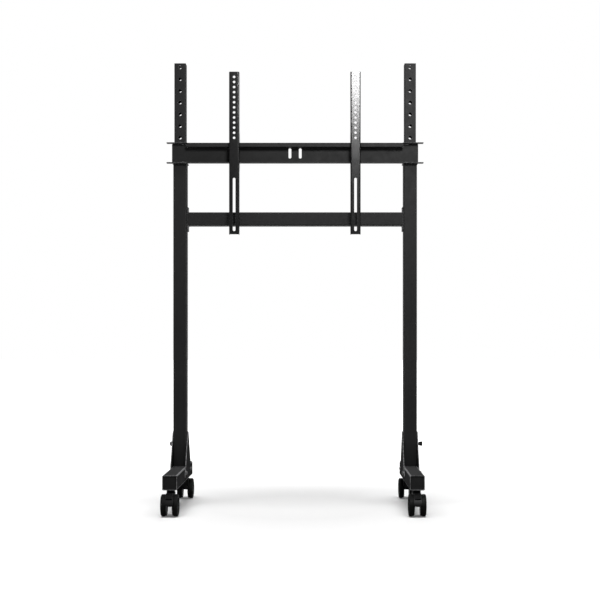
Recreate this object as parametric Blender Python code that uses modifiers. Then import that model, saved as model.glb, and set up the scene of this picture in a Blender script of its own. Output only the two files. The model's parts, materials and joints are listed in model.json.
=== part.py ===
"""Floor stand for a large monitor, in metres, +Z up, +X right, the viewer looks along +Y.

Two square legs on twin-wheel casters carry two uprights, braced by foot gussets and a cross bar.
Square posts with a row of adjustment holes stand in the uprights. A folded bar slides on them by
two collars, and two slotted brackets for the screen hook over the bar's upturned lip.
The origin is on the floor, in the middle of the legs.
"""

import math

import bmesh
import bpy
from mathutils import Matrix, Vector

# Clearances
FIT = 0.0003
SLIDE = 0.0005
HOLE_ROOM = 0.0006
CUT_PAST = 0.010
EASED = 0.001
KNOB_EASED = 0.0015

# Legs
LEG_SPACING = 0.8314
LEG_LENGTH = 0.500
LEG_SIZE = 0.050
LEG_WALL = 0.0025
LEG_CORNER = 0.004
LEG_CAP_DEPTH = 0.012
LEG_CAP_INSET = 0.003
LEG_CAP_FACE = 0.003

# Casters
CASTER_HEIGHT = 0.0882
STEM_FROM_LEG_END = 0.038
TRAIL = 0.028
WHEEL_RADIUS = 0.0375
WHEEL_WIDTH = 0.019
WHEEL_TREAD_ROUND = 0.002
WHEEL_RECESS = 0.003
WHEEL_HUB_RADIUS = 0.027
WHEEL_SHOULDER_RADIUS = 0.0355
HOOD_WIDTH = 0.0285
HOOD_RADIUS = 0.0385
HOOD_BOTTOM = 0.0410
HOOD_WEB = 0.0185
HOOD_WELL_RADIUS = 0.0362
HOOD_WELL_STEPS = 24
HOOD_AXLE_LOBE = 0.0055
WHEEL_SIDE_ROOM = 0.00075
AXLE_DIAMETER = 0.006
SWIVEL_DIAMETER = 0.029
SWIVEL_HEIGHT = 0.0067
STEM_FLANGE_DIAMETER = 0.022
STEM_FLANGE = 0.0027
STEM_THREAD_DIAMETER = 0.012
STEM_PIN_DIAMETER = 0.010
STEM_PIN_LENGTH = 0.033
STEM_NUT = 0.018
STEM_NUT_HEIGHT = 0.008
STEM_TIP = 0.0036

# Brake levers on the front casters, angles in degrees from the level line through the axle
LEVER_WIDTH = 0.010
LEVER_PAD_WIDTH = 0.022
LEVER_PAD = 0.0034
LEVER_PAD_FROM = 35
LEVER_PAD_TO = 78
LEVER_ARM = 0.004
LEVER_ARM_AT = 56
LEVER_HUB_RADIUS = 0.0058
LEVER_TREAD_LENGTH = 0.0075
LEVER_RANGE = 15
LEVER_SLOT_SPARE = 3
LEVER_SLOT_TO = 88
LEVER_SLOT_RADIUS = 0.050

# Uprights
UPRIGHT_SIZE = 0.0482
UPRIGHT_WALL = 0.003
UPRIGHT_CORNER = 0.0038
UPRIGHT_LENGTH = 1.0912
UPRIGHT_SETBACK = 0.0756

# Foot gussets and what holds them
GUSSET_SHEET = 0.003
GUSSET_HALF = 0.100
GUSSET_APEX = 0.170
GUSSET_TOP_ROUND = 0.012
GUSSET_CORNER = 0.006
GUSSET_BELOW_LEG_TOP = 0.0335
FOOT_BOLT_UP = 0.080
FOOT_BOLT_DIAMETER = 0.008
FOOT_HEAD_DIAMETER = 0.018
FOOT_HEAD_HEIGHT = 0.011
FOOT_DOME = ((0, 1), (0.5, 0.93), (0.87, 0.66), (1, 0.3))
FOOT_KNOB_DIAMETER = 0.018
FOOT_KNOB_LENGTH = 0.0165
FOOT_KNOB_NECK = 0.005
FOOT_KNOB_NECK_DIAMETER = 0.010
FOOT_KNOB_WAIST_DIAMETER = 0.014
FOOT_SHANK_PAST_WALL = 0.003
GUSSET_BOLT_DOWN = 0.018
GUSSET_BOLT_REACH = 0.075
GUSSET_BOLT_DIAMETER = 0.008
GUSSET_HEAD_DIAMETER = 0.014
GUSSET_HEAD_HEIGHT = 0.0044
GUSSET_HEAD_FLAT = 0.0084
GUSSET_HEAD_EDGE = 0.0015
GUSSET_NUT = 0.013
GUSSET_NUT_HEIGHT = 0.0065
GUSSET_BOLT_TIP = 0.002

# Posts
POST_SIZE = 0.0412
POST_WALL = 0.002
POST_CORNER = 0.003
POST_INSERT = 0.290
POST_SHOWN = 0.3635
POST_HOLE_DIAMETER = 0.0125
POST_HOLE_PITCH = 0.0423
POST_HOLES = 9
POST_TOP_HOLE_DOWN = 0.0147

# Cross bar
CROSS_SIZE = 0.048
CROSS_WALL = 0.002
CROSS_DOWN = 0.1985
CROSS_PLATE = 0.004
CROSS_PLATE_HEIGHT = 0.087
CROSS_PLATE_DEPTH = 0.044
CROSS_PLATE_CORNER = 0.003
CROSS_VENT_DIAMETER = 0.016
CROSS_SCREW_REACH = 0.033
CROSS_SCREW_DIAMETER = 0.006
CROSS_SCREW_HEAD = 0.012
CROSS_SCREW_RIM = 0.0004
CROSS_SCREW_NUT = 0.010
CROSS_SCREW_NUT_HEIGHT = 0.005

# Monitor bar
BAR_SHEET = 0.003
BAR_HEIGHT = 0.071
BAR_PAST_LEG = 0.0283
BAR_REACH = 0.0270
BAR_LIP = 0.0147
BAR_CORNER = 0.002
BAR_FOLD = 0.002
BAR_SLOT_WIDTH = 0.010
BAR_SLOT_LENGTH = 0.0365
BAR_SLOT_SPACING = 0.0372
BAR_SLOT_DOWN = 0.0156

# Collars
COLLAR_SHEET = 0.003
COLLAR_SIDE = 0.0064
COLLAR_FRONT = 0.022
COLLAR_REAR = 0.0020
EAR_REACH = 0.0463
EAR_DEPTH = 0.020
EAR_CORNER = 0.003

# Height locks at the back of the collars, level with a hole of the posts
LOCK_BOSS_DIAMETER = 0.016
LOCK_BOSS_LENGTH = 0.010
LOCK_PIN_DIAMETER = 0.008
LOCK_KNOB_DIAMETER = 0.026
LOCK_KNOB_LENGTH = 0.018
LOCK_KNOB_NECK_DIAMETER = 0.016
LOCK_KNOB_CONE = 0.0054
LOCK_KNOB_EASED = 0.0025

# Screen brackets
BRACKET_SPACING = 0.433
BRACKET_WIDTH = 0.0363
BRACKET_LENGTH = 0.580
BRACKET_ABOVE_BAR = 0.2497
BRACKET_SHEET = 0.0025
BRACKET_ROUND = 0.004
BRACKET_DEPTH = 0.0235
BRACKET_HOOK_DEPTH = 0.042
BRACKET_HOLE_DIAMETER = 0.009
BRACKET_HOLE_PITCH = 0.0181
BRACKET_HOLES = 13
BRACKET_TOP_HOLE_DOWN = 0.0187
BRACKET_SLOT_WIDTH = 0.0095
BRACKET_SLOT_LENGTH = 0.1900
BRACKET_SLOT_UP = 0.0114
HOOK_HEIGHT = 0.0235
HOOK_FINGER = 0.0095
TAB_SHEET = 0.0025
TAB_BELOW_BAR = 0.010
TAB_CHEEK = 0.007
TAB_SHORT = 0.001

# Bracket lock screws
BRACKET_LOCK_DIAMETER = 0.006
BRACKET_KNOB_DIAMETER = 0.020
BRACKET_KNOB_LENGTH = 0.010

# Roundness
CORNER_STEPS = 2
WHEEL_STEPS = 20
TURN_STEPS = 12
HOLE_STEPS = 10

# Worked out from the sizes above
LEG_X = LEG_SPACING / 2
WHEEL_INNER = HOOD_WEB / 2 + WHEEL_SIDE_ROOM
WHEEL_SHOULDER = HOOD_WIDTH / 2 + WHEEL_SIDE_ROOM - WHEEL_INNER
LEG_BOTTOM = CASTER_HEIGHT + FIT
LEG_TOP = LEG_BOTTOM + LEG_SIZE
STEM_Y = LEG_LENGTH / 2 - STEM_FROM_LEG_END
UPRIGHT_BOTTOM = LEG_TOP + FIT
UPRIGHT_TOP = UPRIGHT_BOTTOM + UPRIGHT_LENGTH
UPRIGHT_Y = UPRIGHT_SETBACK
POST_BOTTOM = UPRIGHT_TOP - POST_INSERT
POST_TOP = UPRIGHT_TOP + POST_SHOWN
POST_FRONT = UPRIGHT_Y - POST_SIZE / 2
POST_BACK = UPRIGHT_Y + POST_SIZE / 2
BAR_BACK = POST_FRONT - SLIDE
BAR_WEB_FRONT = BAR_BACK - BAR_SHEET
BAR_FRONT = BAR_WEB_FRONT - BAR_REACH
BAR_HALF = LEG_X + BAR_PAST_LEG
BAR_BOTTOM = UPRIGHT_TOP + FIT
BAR_TOP = BAR_BOTTOM + BAR_HEIGHT
COLLAR_HALF = POST_SIZE / 2 + SLIDE + COLLAR_SHEET
COLLAR_PLATE_HALF = POST_SIZE / 2 + COLLAR_SIDE + SLIDE
COLLAR_BACK = POST_BACK + SLIDE + COLLAR_SHEET
COLLAR_TOP = BAR_TOP + FIT + COLLAR_SHEET
FLANGE_HALF = LEG_X - COLLAR_PLATE_HALF - FIT
SHELF_BOTTOM = BAR_TOP - BAR_LIP
SHELF_TOP = SHELF_BOTTOM + BAR_SHEET
LOCK_Z = POST_TOP - POST_TOP_HOLE_DOWN - (POST_HOLES - 2) * POST_HOLE_PITCH
CROSS_Z = UPRIGHT_TOP - CROSS_DOWN
CROSS_END = LEG_X - UPRIGHT_SIZE / 2 - FIT
CROSS_Y = UPRIGHT_Y
GUSSET_BOTTOM = LEG_TOP - GUSSET_BELOW_LEG_TOP
GUSSET_INNER = LEG_SIZE / 2 + FIT
GUSSET_OUTER = GUSSET_INNER + GUSSET_SHEET
FOOT_BOLT_Z = LEG_TOP + FOOT_BOLT_UP
GUSSET_BOLT_Z = LEG_TOP - GUSSET_BOLT_DOWN
BRACKET_X = BRACKET_SPACING / 2
BRACKET_FRONT = BAR_FRONT - SLIDE - BRACKET_DEPTH
BRACKET_TOP = BAR_TOP + BRACKET_ABOVE_BAR
BRACKET_BOTTOM = BRACKET_TOP - BRACKET_LENGTH
TAB_Z = BAR_BOTTOM - TAB_BELOW_BAR

SIDES = (("left", -1), ("right", 1))
ENDS = (("front", -1), ("rear", 1))

# Local x, y and z of a flat outline or a turned shape, laid along a world axis
ALONG = {
    "x": Matrix(((0, 0, 1, 0), (1, 0, 0, 0), (0, 1, 0, 0), (0, 0, 0, 1))),
    "y": Matrix(((1, 0, 0, 0), (0, 0, -1, 0), (0, 1, 0, 0), (0, 0, 0, 1))),
    "z": Matrix.Identity(4),
}


def clear_scene():
    for obj in list(bpy.data.objects):
        bpy.data.objects.remove(obj)


def new_collection(name):
    collection = bpy.data.collections.new(name)
    bpy.context.scene.collection.children.link(collection)
    return collection


def new_material(name, colour, roughness, metallic):
    material = bpy.data.materials.new(name)
    material.use_nodes = True
    shader = material.node_tree.nodes["Principled BSDF"]
    shader.inputs["Base Color"].default_value = (*colour, 1)
    shader.inputs["Roughness"].default_value = roughness
    shader.inputs["Metallic"].default_value = metallic
    material.diffuse_color = (*colour, 1)
    return material


clear_scene()
PARTS = new_collection("monitor_floor_stand")
CUTTERS = new_collection("cutters")
POWDER_BLACK = new_material("powder_black", (0.03, 0.03, 0.032), 0.42, 0)
BRACKET_BLACK = new_material("bracket_black", (0.035, 0.035, 0.037), 0.36, 0)
BLACK_PLASTIC = new_material("black_plastic", (0.02, 0.02, 0.021), 0.5, 0)
TYRE_BLACK = new_material("tyre_black", (0.015, 0.015, 0.015), 0.65, 0)
DARK_BOLT = new_material("dark_bolt", (0.06, 0.06, 0.062), 0.35, 1)
ZINC = new_material("zinc", (0.55, 0.55, 0.56), 0.3, 1)


def rounded(corners, steps=CORNER_STEPS):
    """Outline through (x, y, radius) corners, each corner an arc."""
    points = []
    count = len(corners)
    for i, (x, y, radius) in enumerate(corners):
        corner = Vector((x, y))
        before = (Vector(corners[i - 1][:2]) - corner).normalized()
        after = (Vector(corners[(i + 1) % count][:2]) - corner).normalized()
        if radius == 0:
            points.append(corner)
            continue
        half = before.angle(after) / 2
        centre = corner + (before + after).normalized() * radius / math.sin(half)
        start = corner + before * radius / math.tan(half) - centre
        end = corner + after * radius / math.tan(half) - centre
        turn = start.angle_signed(end)
        for step in range(steps + 1):
            points.append(centre + Matrix.Rotation(-turn * step / steps, 2) @ start)
    kept = [p for i, p in enumerate(points) if (p - points[i - 1]).length > 1e-6]
    return [(p.x, p.y) for p in kept]


def box_outline(low_x, low_y, high_x, high_y, radius, steps=CORNER_STEPS):
    return rounded(
        [(low_x, low_y, radius), (high_x, low_y, radius), (high_x, high_y, radius), (low_x, high_y, radius)],
        steps,
    )


def square(size, radius):
    return box_outline(-size / 2, -size / 2, size / 2, size / 2, radius)


def circle(x, y, diameter, steps=HOLE_STEPS):
    turns = (2 * math.pi * (i + 0.5) / steps for i in range(steps))
    return [(x + diameter / 2 * math.cos(a), y + diameter / 2 * math.sin(a)) for a in turns]


def mesh_of(holder):
    """The evaluated mesh of a scratch object, with loose caps welded; the object is removed."""
    bpy.context.scene.collection.objects.link(holder)
    evaluated = holder.evaluated_get(bpy.context.evaluated_depsgraph_get())
    mesh = bpy.data.meshes.new_from_object(evaluated)
    bpy.data.objects.remove(holder)
    work = bmesh.new()
    work.from_mesh(mesh)
    bmesh.ops.remove_doubles(work, verts=work.verts, dist=1e-6)
    bmesh.ops.recalc_face_normals(work, faces=work.faces)
    work.to_mesh(mesh)
    work.free()
    mesh.materials.clear()
    return mesh


def flat(loops, thickness, axis, middle=(0, 0, 0)):
    """A flat outline with holes, thick along the axis, centred on middle."""
    curve = bpy.data.curves.new("outline", "CURVE")
    curve.dimensions = "2D"
    curve.fill_mode = "BOTH"
    curve.extrude = thickness / 2
    for loop in loops:
        spline = curve.splines.new("POLY")
        spline.points.add(len(loop) - 1)
        for point, (x, y) in zip(spline.points, loop):
            point.co = (x, y, 0, 1)
        spline.use_cyclic_u = True
    mesh = mesh_of(bpy.data.objects.new("outline", curve))
    bpy.data.curves.remove(curve)
    mesh.transform(Matrix.Translation(middle) @ ALONG[axis])
    return mesh


def box(low, high):
    """A box between two corners, from a unit cube."""
    work = bmesh.new()
    size = Vector(high) - Vector(low)
    centre = (Vector(high) + Vector(low)) / 2
    place = Matrix.Translation(centre) @ Matrix.Diagonal((*size, 1))
    bmesh.ops.create_cube(work, size=1, matrix=place)
    mesh = bpy.data.meshes.new("box")
    work.to_mesh(mesh)
    work.free()
    return mesh


def turned(profile, axis, steps=TURN_STEPS, middle=(0, 0, 0), ring=False):
    """(radius, height) points, running down the outer side, turned about the axis."""
    profile_mesh = bpy.data.meshes.new("profile")
    edges = [(i, i + 1) for i in range(len(profile) - 1)]
    if ring:
        edges.append((len(profile) - 1, 0))
    profile_mesh.from_pydata([(radius, 0, height) for radius, height in profile], edges, [])
    holder = bpy.data.objects.new("profile", profile_mesh)
    screw = holder.modifiers.new("Turn", "SCREW")
    screw.steps = steps
    screw.render_steps = steps
    screw.use_merge_vertices = True
    screw.merge_threshold = 0.00001
    mesh = mesh_of(holder)
    bpy.data.meshes.remove(profile_mesh)
    half_step = Matrix.Rotation(math.pi / steps, 4, "Z")
    mesh.transform(Matrix.Translation(middle) @ ALONG[axis] @ half_step)
    mesh.shade_smooth()
    mesh.set_sharp_from_angle(angle=math.radians(35))
    return mesh


def rod(diameter, low, high, axis, middle=(0, 0, 0), steps=HOLE_STEPS):
    """A cylinder along the axis from low to high, measured from middle."""
    work = bmesh.new()
    turn = ALONG[axis] @ Matrix.Translation((0, 0, (low + high) / 2))
    bmesh.ops.create_cone(
        work, cap_ends=True, segments=steps, radius1=diameter / 2, radius2=diameter / 2,
        depth=high - low, matrix=Matrix.Translation(middle) @ turn,
    )
    mesh = bpy.data.meshes.new("rod")
    work.to_mesh(mesh)
    work.free()
    return mesh


def hexagon(across, low, high, axis, middle=(0, 0, 0)):
    return rod(across / math.cos(math.pi / 6), low, high, axis, middle, steps=6)


def world_place(obj):
    """Where an object's origin is, for objects that are only moved and never turned."""
    if obj is None:
        return Vector((0, 0, 0))
    return obj.location + world_place(obj.parent)


def pivot(name, place, parent=None):
    """An empty on a joint's axis."""
    empty = bpy.data.objects.new(name, None)
    empty.empty_display_size = 0.03
    PARTS.objects.link(empty)
    empty.parent = parent
    empty.location = Vector(place) - world_place(parent)
    return empty


def part(name, mesh, material, parent=None, origin=(0, 0, 0)):
    """A named object whose mesh is given from its own origin."""
    mesh.name = name
    mesh.materials.append(material)
    obj = bpy.data.objects.new(name, mesh)
    PARTS.objects.link(obj)
    obj.parent = parent
    obj.location = Vector(origin) - world_place(parent)
    return obj


def combine(obj, operation, meshes):
    """Each mesh joined to the object or cut from it, in the object's own space."""
    for i, mesh in enumerate(meshes):
        name = f"{obj.name}_{operation.lower()}_{len(obj.modifiers)}_{i}"
        helper = bpy.data.objects.new(name, mesh)
        mesh.name = name
        helper.hide_render = True
        helper.display_type = "WIRE"
        CUTTERS.objects.link(helper)
        helper.parent = obj
        boolean = obj.modifiers.new(operation.title(), "BOOLEAN")
        boolean.operation = operation
        boolean.object = helper


def joined(meshes):
    """Separate bodies in one mesh, for a cutter with many holes."""
    work = bmesh.new()
    for mesh in meshes:
        work.from_mesh(mesh)
        bpy.data.meshes.remove(mesh)
    result = bpy.data.meshes.new("joined")
    work.to_mesh(result)
    work.free()
    return result


def weld(obj, *meshes):
    combine(obj, "UNION", meshes)


def cut(obj, *meshes):
    combine(obj, "DIFFERENCE", [joined(meshes)])


def caster(where, side, end, leg_x, parent):
    """A swivelling twin-wheel caster whose wheels trail towards its leg's end."""
    name = f"caster_{where}"
    stem_y = end * STEM_Y
    axle_y = end * TRAIL
    swivel_top = CASTER_HEIGHT - STEM_FLANGE - FIT

    bearing_seat = swivel_top + FIT
    nut_bottom = LEG_BOTTOM + LEG_WALL + FIT
    nut_top = nut_bottom + STEM_NUT_HEIGHT
    stem_top = nut_top + STEM_TIP
    pin_bottom = swivel_top - STEM_PIN_LENGTH
    stem_profile = [
        (0, stem_top),
        (STEM_THREAD_DIAMETER / 2, stem_top),
        (STEM_THREAD_DIAMETER / 2, CASTER_HEIGHT),
        (STEM_FLANGE_DIAMETER / 2, CASTER_HEIGHT),
        (STEM_FLANGE_DIAMETER / 2, bearing_seat),
        (STEM_PIN_DIAMETER / 2, bearing_seat),
        (STEM_PIN_DIAMETER / 2, pin_bottom),
        (0, pin_bottom),
    ]
    stem = part(f"{name}_stem", turned(stem_profile, "z"), ZINC, parent, (leg_x, stem_y, 0))
    weld(stem, hexagon(STEM_NUT, nut_bottom, nut_top, "z"))

    swivel = pivot(f"{name}_swivel", (leg_x, stem_y, 0), parent)
    boss_radius = SWIVEL_DIAMETER / 2 - EASED
    shoulder = swivel_top - SWIVEL_HEIGHT
    hood = [(TRAIL + y, WHEEL_RADIUS + z) for y, z in arc(HOOD_RADIUS, 100, 10, 6)]
    hood.append((TRAIL + HOOD_RADIUS, HOOD_BOTTOM))
    lobe = [(TRAIL + y, WHEEL_RADIUS + z) for y, z in arc(HOOD_AXLE_LOBE, 0, -180, 4)]
    outline = [(-boss_radius, shoulder), *hood]
    outline += [(lobe[0][0], HOOD_BOTTOM), *lobe, (lobe[-1][0], HOOD_BOTTOM), (0, HOOD_BOTTOM)]
    outline.append((-boss_radius, HOOD_BOTTOM + boss_radius))
    outline = [(end * y, z) for y, z in outline]
    body = part(f"{name}_body", flat([outline], HOOD_WIDTH, "x"), BLACK_PLASTIC, swivel, (leg_x, stem_y, 0))
    weld(body, rod(SWIVEL_DIAMETER, HOOD_BOTTOM + boss_radius, swivel_top, "z", steps=2 * HOLE_STEPS))
    pin_bore = rod(STEM_PIN_DIAMETER + 2 * FIT, pin_bottom - FIT, swivel_top + FIT, "z")
    axle_middle = (0, axle_y, WHEEL_RADIUS)
    axle_bore = rod(AXLE_DIAMETER + 2 * FIT, -HOOD_WIDTH, HOOD_WIDTH, "x", axle_middle)
    well = 2 * HOOD_WELL_RADIUS / math.cos(math.pi / HOOD_WELL_STEPS)
    wells = [rod(well, *sorted((out * HOOD_WEB / 2, out * HOOD_WIDTH)), "x", axle_middle, HOOD_WELL_STEPS)
             for _, out in SIDES]
    cut(body, pin_bore)
    cut(body, axle_bore)
    cut(body, *wells)

    axle_half = WHEEL_INNER + WHEEL_WIDTH - WHEEL_RECESS - FIT
    axle_place = (leg_x, stem_y + axle_y, WHEEL_RADIUS)
    part(f"{name}_axle", rod(AXLE_DIAMETER, -axle_half, axle_half, "x"), ZINC, swivel, axle_place)

    bore = AXLE_DIAMETER / 2 + FIT
    tread = WHEEL_RADIUS / math.cos(math.pi / WHEEL_STEPS)
    wheel_profile = [
        (bore, WHEEL_WIDTH - WHEEL_RECESS),
        (WHEEL_HUB_RADIUS, WHEEL_WIDTH - WHEEL_RECESS),
        (WHEEL_HUB_RADIUS + WHEEL_RECESS, WHEEL_WIDTH),
        (tread - WHEEL_TREAD_ROUND, WHEEL_WIDTH),
        (tread, WHEEL_WIDTH - WHEEL_TREAD_ROUND),
        (tread, WHEEL_SHOULDER),
        (WHEEL_SHOULDER_RADIUS, WHEEL_SHOULDER),
        (WHEEL_SHOULDER_RADIUS, 0),
        (bore, 0),
    ]
    for place, out in (("outer", side), ("inner", -side)):
        wheel = turned(wheel_profile, "x", WHEEL_STEPS, (WHEEL_INNER, 0, 0), ring=True)
        if out < 0:
            wheel.transform(Matrix.Rotation(math.pi, 4, "Z"))
        part(f"{name}_wheel_{place}", wheel, TYRE_BLACK, swivel, axle_place)
    return swivel, body


def arc(radius, start, stop, steps):
    """Points on a circle round the axle, angles in degrees from the level line."""
    angles = (math.radians(start + (stop - start) * i / steps) for i in range(steps + 1))
    return [(radius * math.cos(a), radius * math.sin(a)) for a in angles]


def brake_lever(where, end, swivel, body):
    """A tread over the hood, on an arm that turns on the axle in a slot of the body."""
    origin = world_place(swivel) + Vector((0, end * TRAIL, WHEEL_RADIUS))
    slot_width = LEVER_WIDTH + 2 * SLIDE
    sweep_from = LEVER_PAD_FROM - LEVER_RANGE - LEVER_SLOT_SPARE
    sweep = [(0, 0), *arc(LEVER_SLOT_RADIUS, sweep_from, LEVER_SLOT_TO, 6)]
    sweep = [(end * (y + TRAIL), z + WHEEL_RADIUS) for y, z in sweep]
    hub_room = rod(2 * (LEVER_HUB_RADIUS + SLIDE), -slot_width / 2, slot_width / 2, "x",
                   (0, end * TRAIL, WHEEL_RADIUS))
    cut(body, flat([sweep], slot_width, "x"))
    cut(body, hub_room)

    pad_low = HOOD_RADIUS + SLIDE
    pad_high = pad_low + LEVER_PAD
    pad = arc(pad_high, LEVER_PAD_FROM, LEVER_PAD_TO, 6) + arc(pad_low, LEVER_PAD_TO, LEVER_PAD_FROM, 6)
    tread_from = LEVER_PAD_FROM + 1
    tread_turn = math.degrees(LEVER_TREAD_LENGTH / 2 / pad_high)
    tread = arc(pad_high + LEVER_TREAD_LENGTH / 2, tread_from, tread_from + tread_turn, 1)
    tread += arc(pad_low + LEVER_PAD / 2, tread_from + 2 * tread_turn, tread_from, 1)
    turn = Matrix.Rotation(math.radians(LEVER_ARM_AT), 2)
    arm_low = AXLE_DIAMETER / 2 + SLIDE + LEVER_ARM / 4
    arm_high = pad_low + LEVER_PAD / 2
    arm = box_outline(arm_low, -LEVER_ARM / 2, arm_high, LEVER_ARM / 2, 0)
    arm = [tuple(turn @ Vector(point)) for point in arm]
    hub = [circle(0, 0, 2 * LEVER_HUB_RADIUS), circle(0, 0, AXLE_DIAMETER + 2 * SLIDE)]

    def facing(outline):
        return [(end * y, z) for y, z in outline]

    lever = part(
        f"brake_lever_{where}", flat([facing(pad)], LEVER_PAD_WIDTH, "x"), BLACK_PLASTIC, swivel, origin
    )
    weld(
        lever,
        flat([facing(tread)], LEVER_PAD_WIDTH - 2 * SLIDE, "x"),
        flat([facing(arm)], LEVER_WIDTH - 2 * SLIDE, "x"),
        flat([facing(loop) for loop in hub], LEVER_WIDTH, "x"),
    )


def leg(side_name, side, parent):
    x = side * LEG_X
    middle = LEG_BOTTOM + LEG_SIZE / 2
    tube = [square(LEG_SIZE, LEG_CORNER), square(LEG_SIZE - 2 * LEG_WALL, LEG_CORNER - LEG_WALL)]
    body = part(f"leg_{side_name}", flat(tube, LEG_LENGTH, "y"), POWDER_BLACK, parent, (x, 0, middle))
    stem_hole = STEM_THREAD_DIAMETER + HOLE_ROOM
    bolt_hole = GUSSET_BOLT_DIAMETER + HOLE_ROOM
    bottom = -LEG_SIZE / 2
    holes = [rod(stem_hole, bottom - FIT, bottom + 2 * LEG_WALL, "z", (0, end * STEM_Y, 0)) for _, end in ENDS]
    for _, end in ENDS:
        bolt_y = UPRIGHT_Y + end * GUSSET_BOLT_REACH
        holes.append(rod(bolt_hole, -LEG_SIZE, LEG_SIZE, "x", (0, bolt_y, GUSSET_BOLT_Z - middle)))
    cut(body, *holes)
    room = LEG_SIZE - 2 * LEG_WALL - 2 * FIT
    cap_corner = LEG_CORNER - LEG_WALL
    for end_name, end in ENDS:
        face = end * (LEG_LENGTH / 2 - LEG_CAP_INSET)
        deep = -end * LEG_CAP_DEPTH
        cap = flat([square(room, cap_corner)], LEG_CAP_DEPTH, "y", (0, deep / 2, 0))
        cap = part(f"leg_cap_{end_name}_{side_name}", cap, BLACK_PLASTIC, parent, (x, face, middle))
        hollow = room / 2 - LEG_CAP_FACE
        reach = sorted((-end * LEG_CAP_FACE, 2 * deep))
        cut(cap, box((-hollow, reach[0], -hollow), (hollow, reach[1], hollow)))


def upright(side_name, side, parent):
    place = (side * LEG_X, UPRIGHT_Y, UPRIGHT_BOTTOM)
    inner = UPRIGHT_SIZE - 2 * UPRIGHT_WALL
    tube = [square(UPRIGHT_SIZE, UPRIGHT_CORNER), square(inner, UPRIGHT_CORNER - UPRIGHT_WALL)]
    mesh = flat(tube, UPRIGHT_LENGTH, "z", (0, 0, UPRIGHT_LENGTH / 2))
    body = part(f"upright_{side_name}", mesh, POWDER_BLACK, parent, place)
    foot_hole = rod(FOOT_BOLT_DIAMETER + HOLE_ROOM, inner / 2 - SLIDE, LEG_SIZE, "x",
                    (0, 0, FOOT_BOLT_Z - UPRIGHT_BOTTOM))
    foot_hole.transform(Matrix.Rotation(math.pi if side < 0 else 0, 4, "Z"))
    cut(body, foot_hole, *cross_screw_holes(side, UPRIGHT_BOTTOM, inner / 2 - SLIDE, LEG_SIZE))


def cross_screw_holes(side, base, near, far):
    """Screw holes through the wall that faces the cross bar, from the object's axis."""
    low, high = sorted((-side * near, -side * far))
    diameter = CROSS_SCREW_DIAMETER + HOLE_ROOM
    heights = [CROSS_Z + reach * CROSS_SCREW_REACH - base for reach in (-1, 1)]
    return [rod(diameter, low, high, "x", (0, 0, z)) for z in heights]


def post(side_name, side, parent):
    place = (side * LEG_X, UPRIGHT_Y, POST_BOTTOM)
    inner = POST_SIZE - 2 * POST_WALL
    tube = [square(POST_SIZE, POST_CORNER), square(inner, POST_CORNER - POST_WALL)]
    length = POST_TOP - POST_BOTTOM
    body = part(f"post_{side_name}", flat(tube, length, "z", (0, 0, length / 2)), POWDER_BLACK, parent, place)
    top_hole = length - POST_TOP_HOLE_DOWN
    heights = [top_hole - i * POST_HOLE_PITCH for i in range(POST_HOLES)]
    cut(
        body,
        *[rod(POST_HOLE_DIAMETER, -POST_SIZE, POST_SIZE, "y", (0, 0, z)) for z in heights],
        *cross_screw_holes(side, POST_BOTTOM, inner / 2 - SLIDE, POST_SIZE),
    )


def gussets(side_name, side, parent):
    outline = rounded([
        (-GUSSET_HALF, 0, GUSSET_CORNER),
        (GUSSET_HALF, 0, GUSSET_CORNER),
        (0, GUSSET_APEX, GUSSET_TOP_ROUND),
    ], 6)
    foot_hole = circle(0, FOOT_BOLT_Z - GUSSET_BOTTOM, FOOT_BOLT_DIAMETER + HOLE_ROOM)
    bolt_up = GUSSET_BOLT_Z - GUSSET_BOTTOM
    bolt_hole = GUSSET_BOLT_DIAMETER + HOLE_ROOM
    bolt_holes = [circle(end * GUSSET_BOLT_REACH, bolt_up, bolt_hole) for _, end in ENDS]
    for face, out in (("outer", side), ("inner", -side)):
        middle = (out * (GUSSET_INNER + GUSSET_SHEET / 2), 0, 0)
        plate = flat([outline, foot_hole, *bolt_holes], GUSSET_SHEET, "x", middle)
        place = (side * LEG_X, UPRIGHT_Y, GUSSET_BOTTOM)
        part(f"gusset_{side_name}_{face}", plate, POWDER_BLACK, parent, place)
    head = GUSSET_OUTER + FIT
    radius = GUSSET_BOLT_DIAMETER / 2
    for end_name, end in ENDS:
        profile = [
            (0, head + GUSSET_HEAD_HEIGHT),
            (GUSSET_HEAD_FLAT / 2, head + GUSSET_HEAD_HEIGHT),
            (GUSSET_HEAD_DIAMETER / 2, head + GUSSET_HEAD_EDGE),
            (GUSSET_HEAD_DIAMETER / 2, head),
            (radius, head),
            (radius, -head - GUSSET_NUT_HEIGHT - GUSSET_BOLT_TIP),
            (0, -head - GUSSET_NUT_HEIGHT - GUSSET_BOLT_TIP),
        ]
        bolt = turned(profile, "x")
        nut = hexagon(GUSSET_NUT, -head - GUSSET_NUT_HEIGHT, -head, "x")
        if side > 0:
            bolt.transform(Matrix.Rotation(math.pi, 4, "Z"))
            nut.transform(Matrix.Rotation(math.pi, 4, "Z"))
        place = (side * LEG_X, UPRIGHT_Y + end * GUSSET_BOLT_REACH, GUSSET_BOLT_Z)
        weld(part(f"gusset_bolt_{end_name}_{side_name}", bolt, DARK_BOLT, parent, place), nut)


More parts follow.
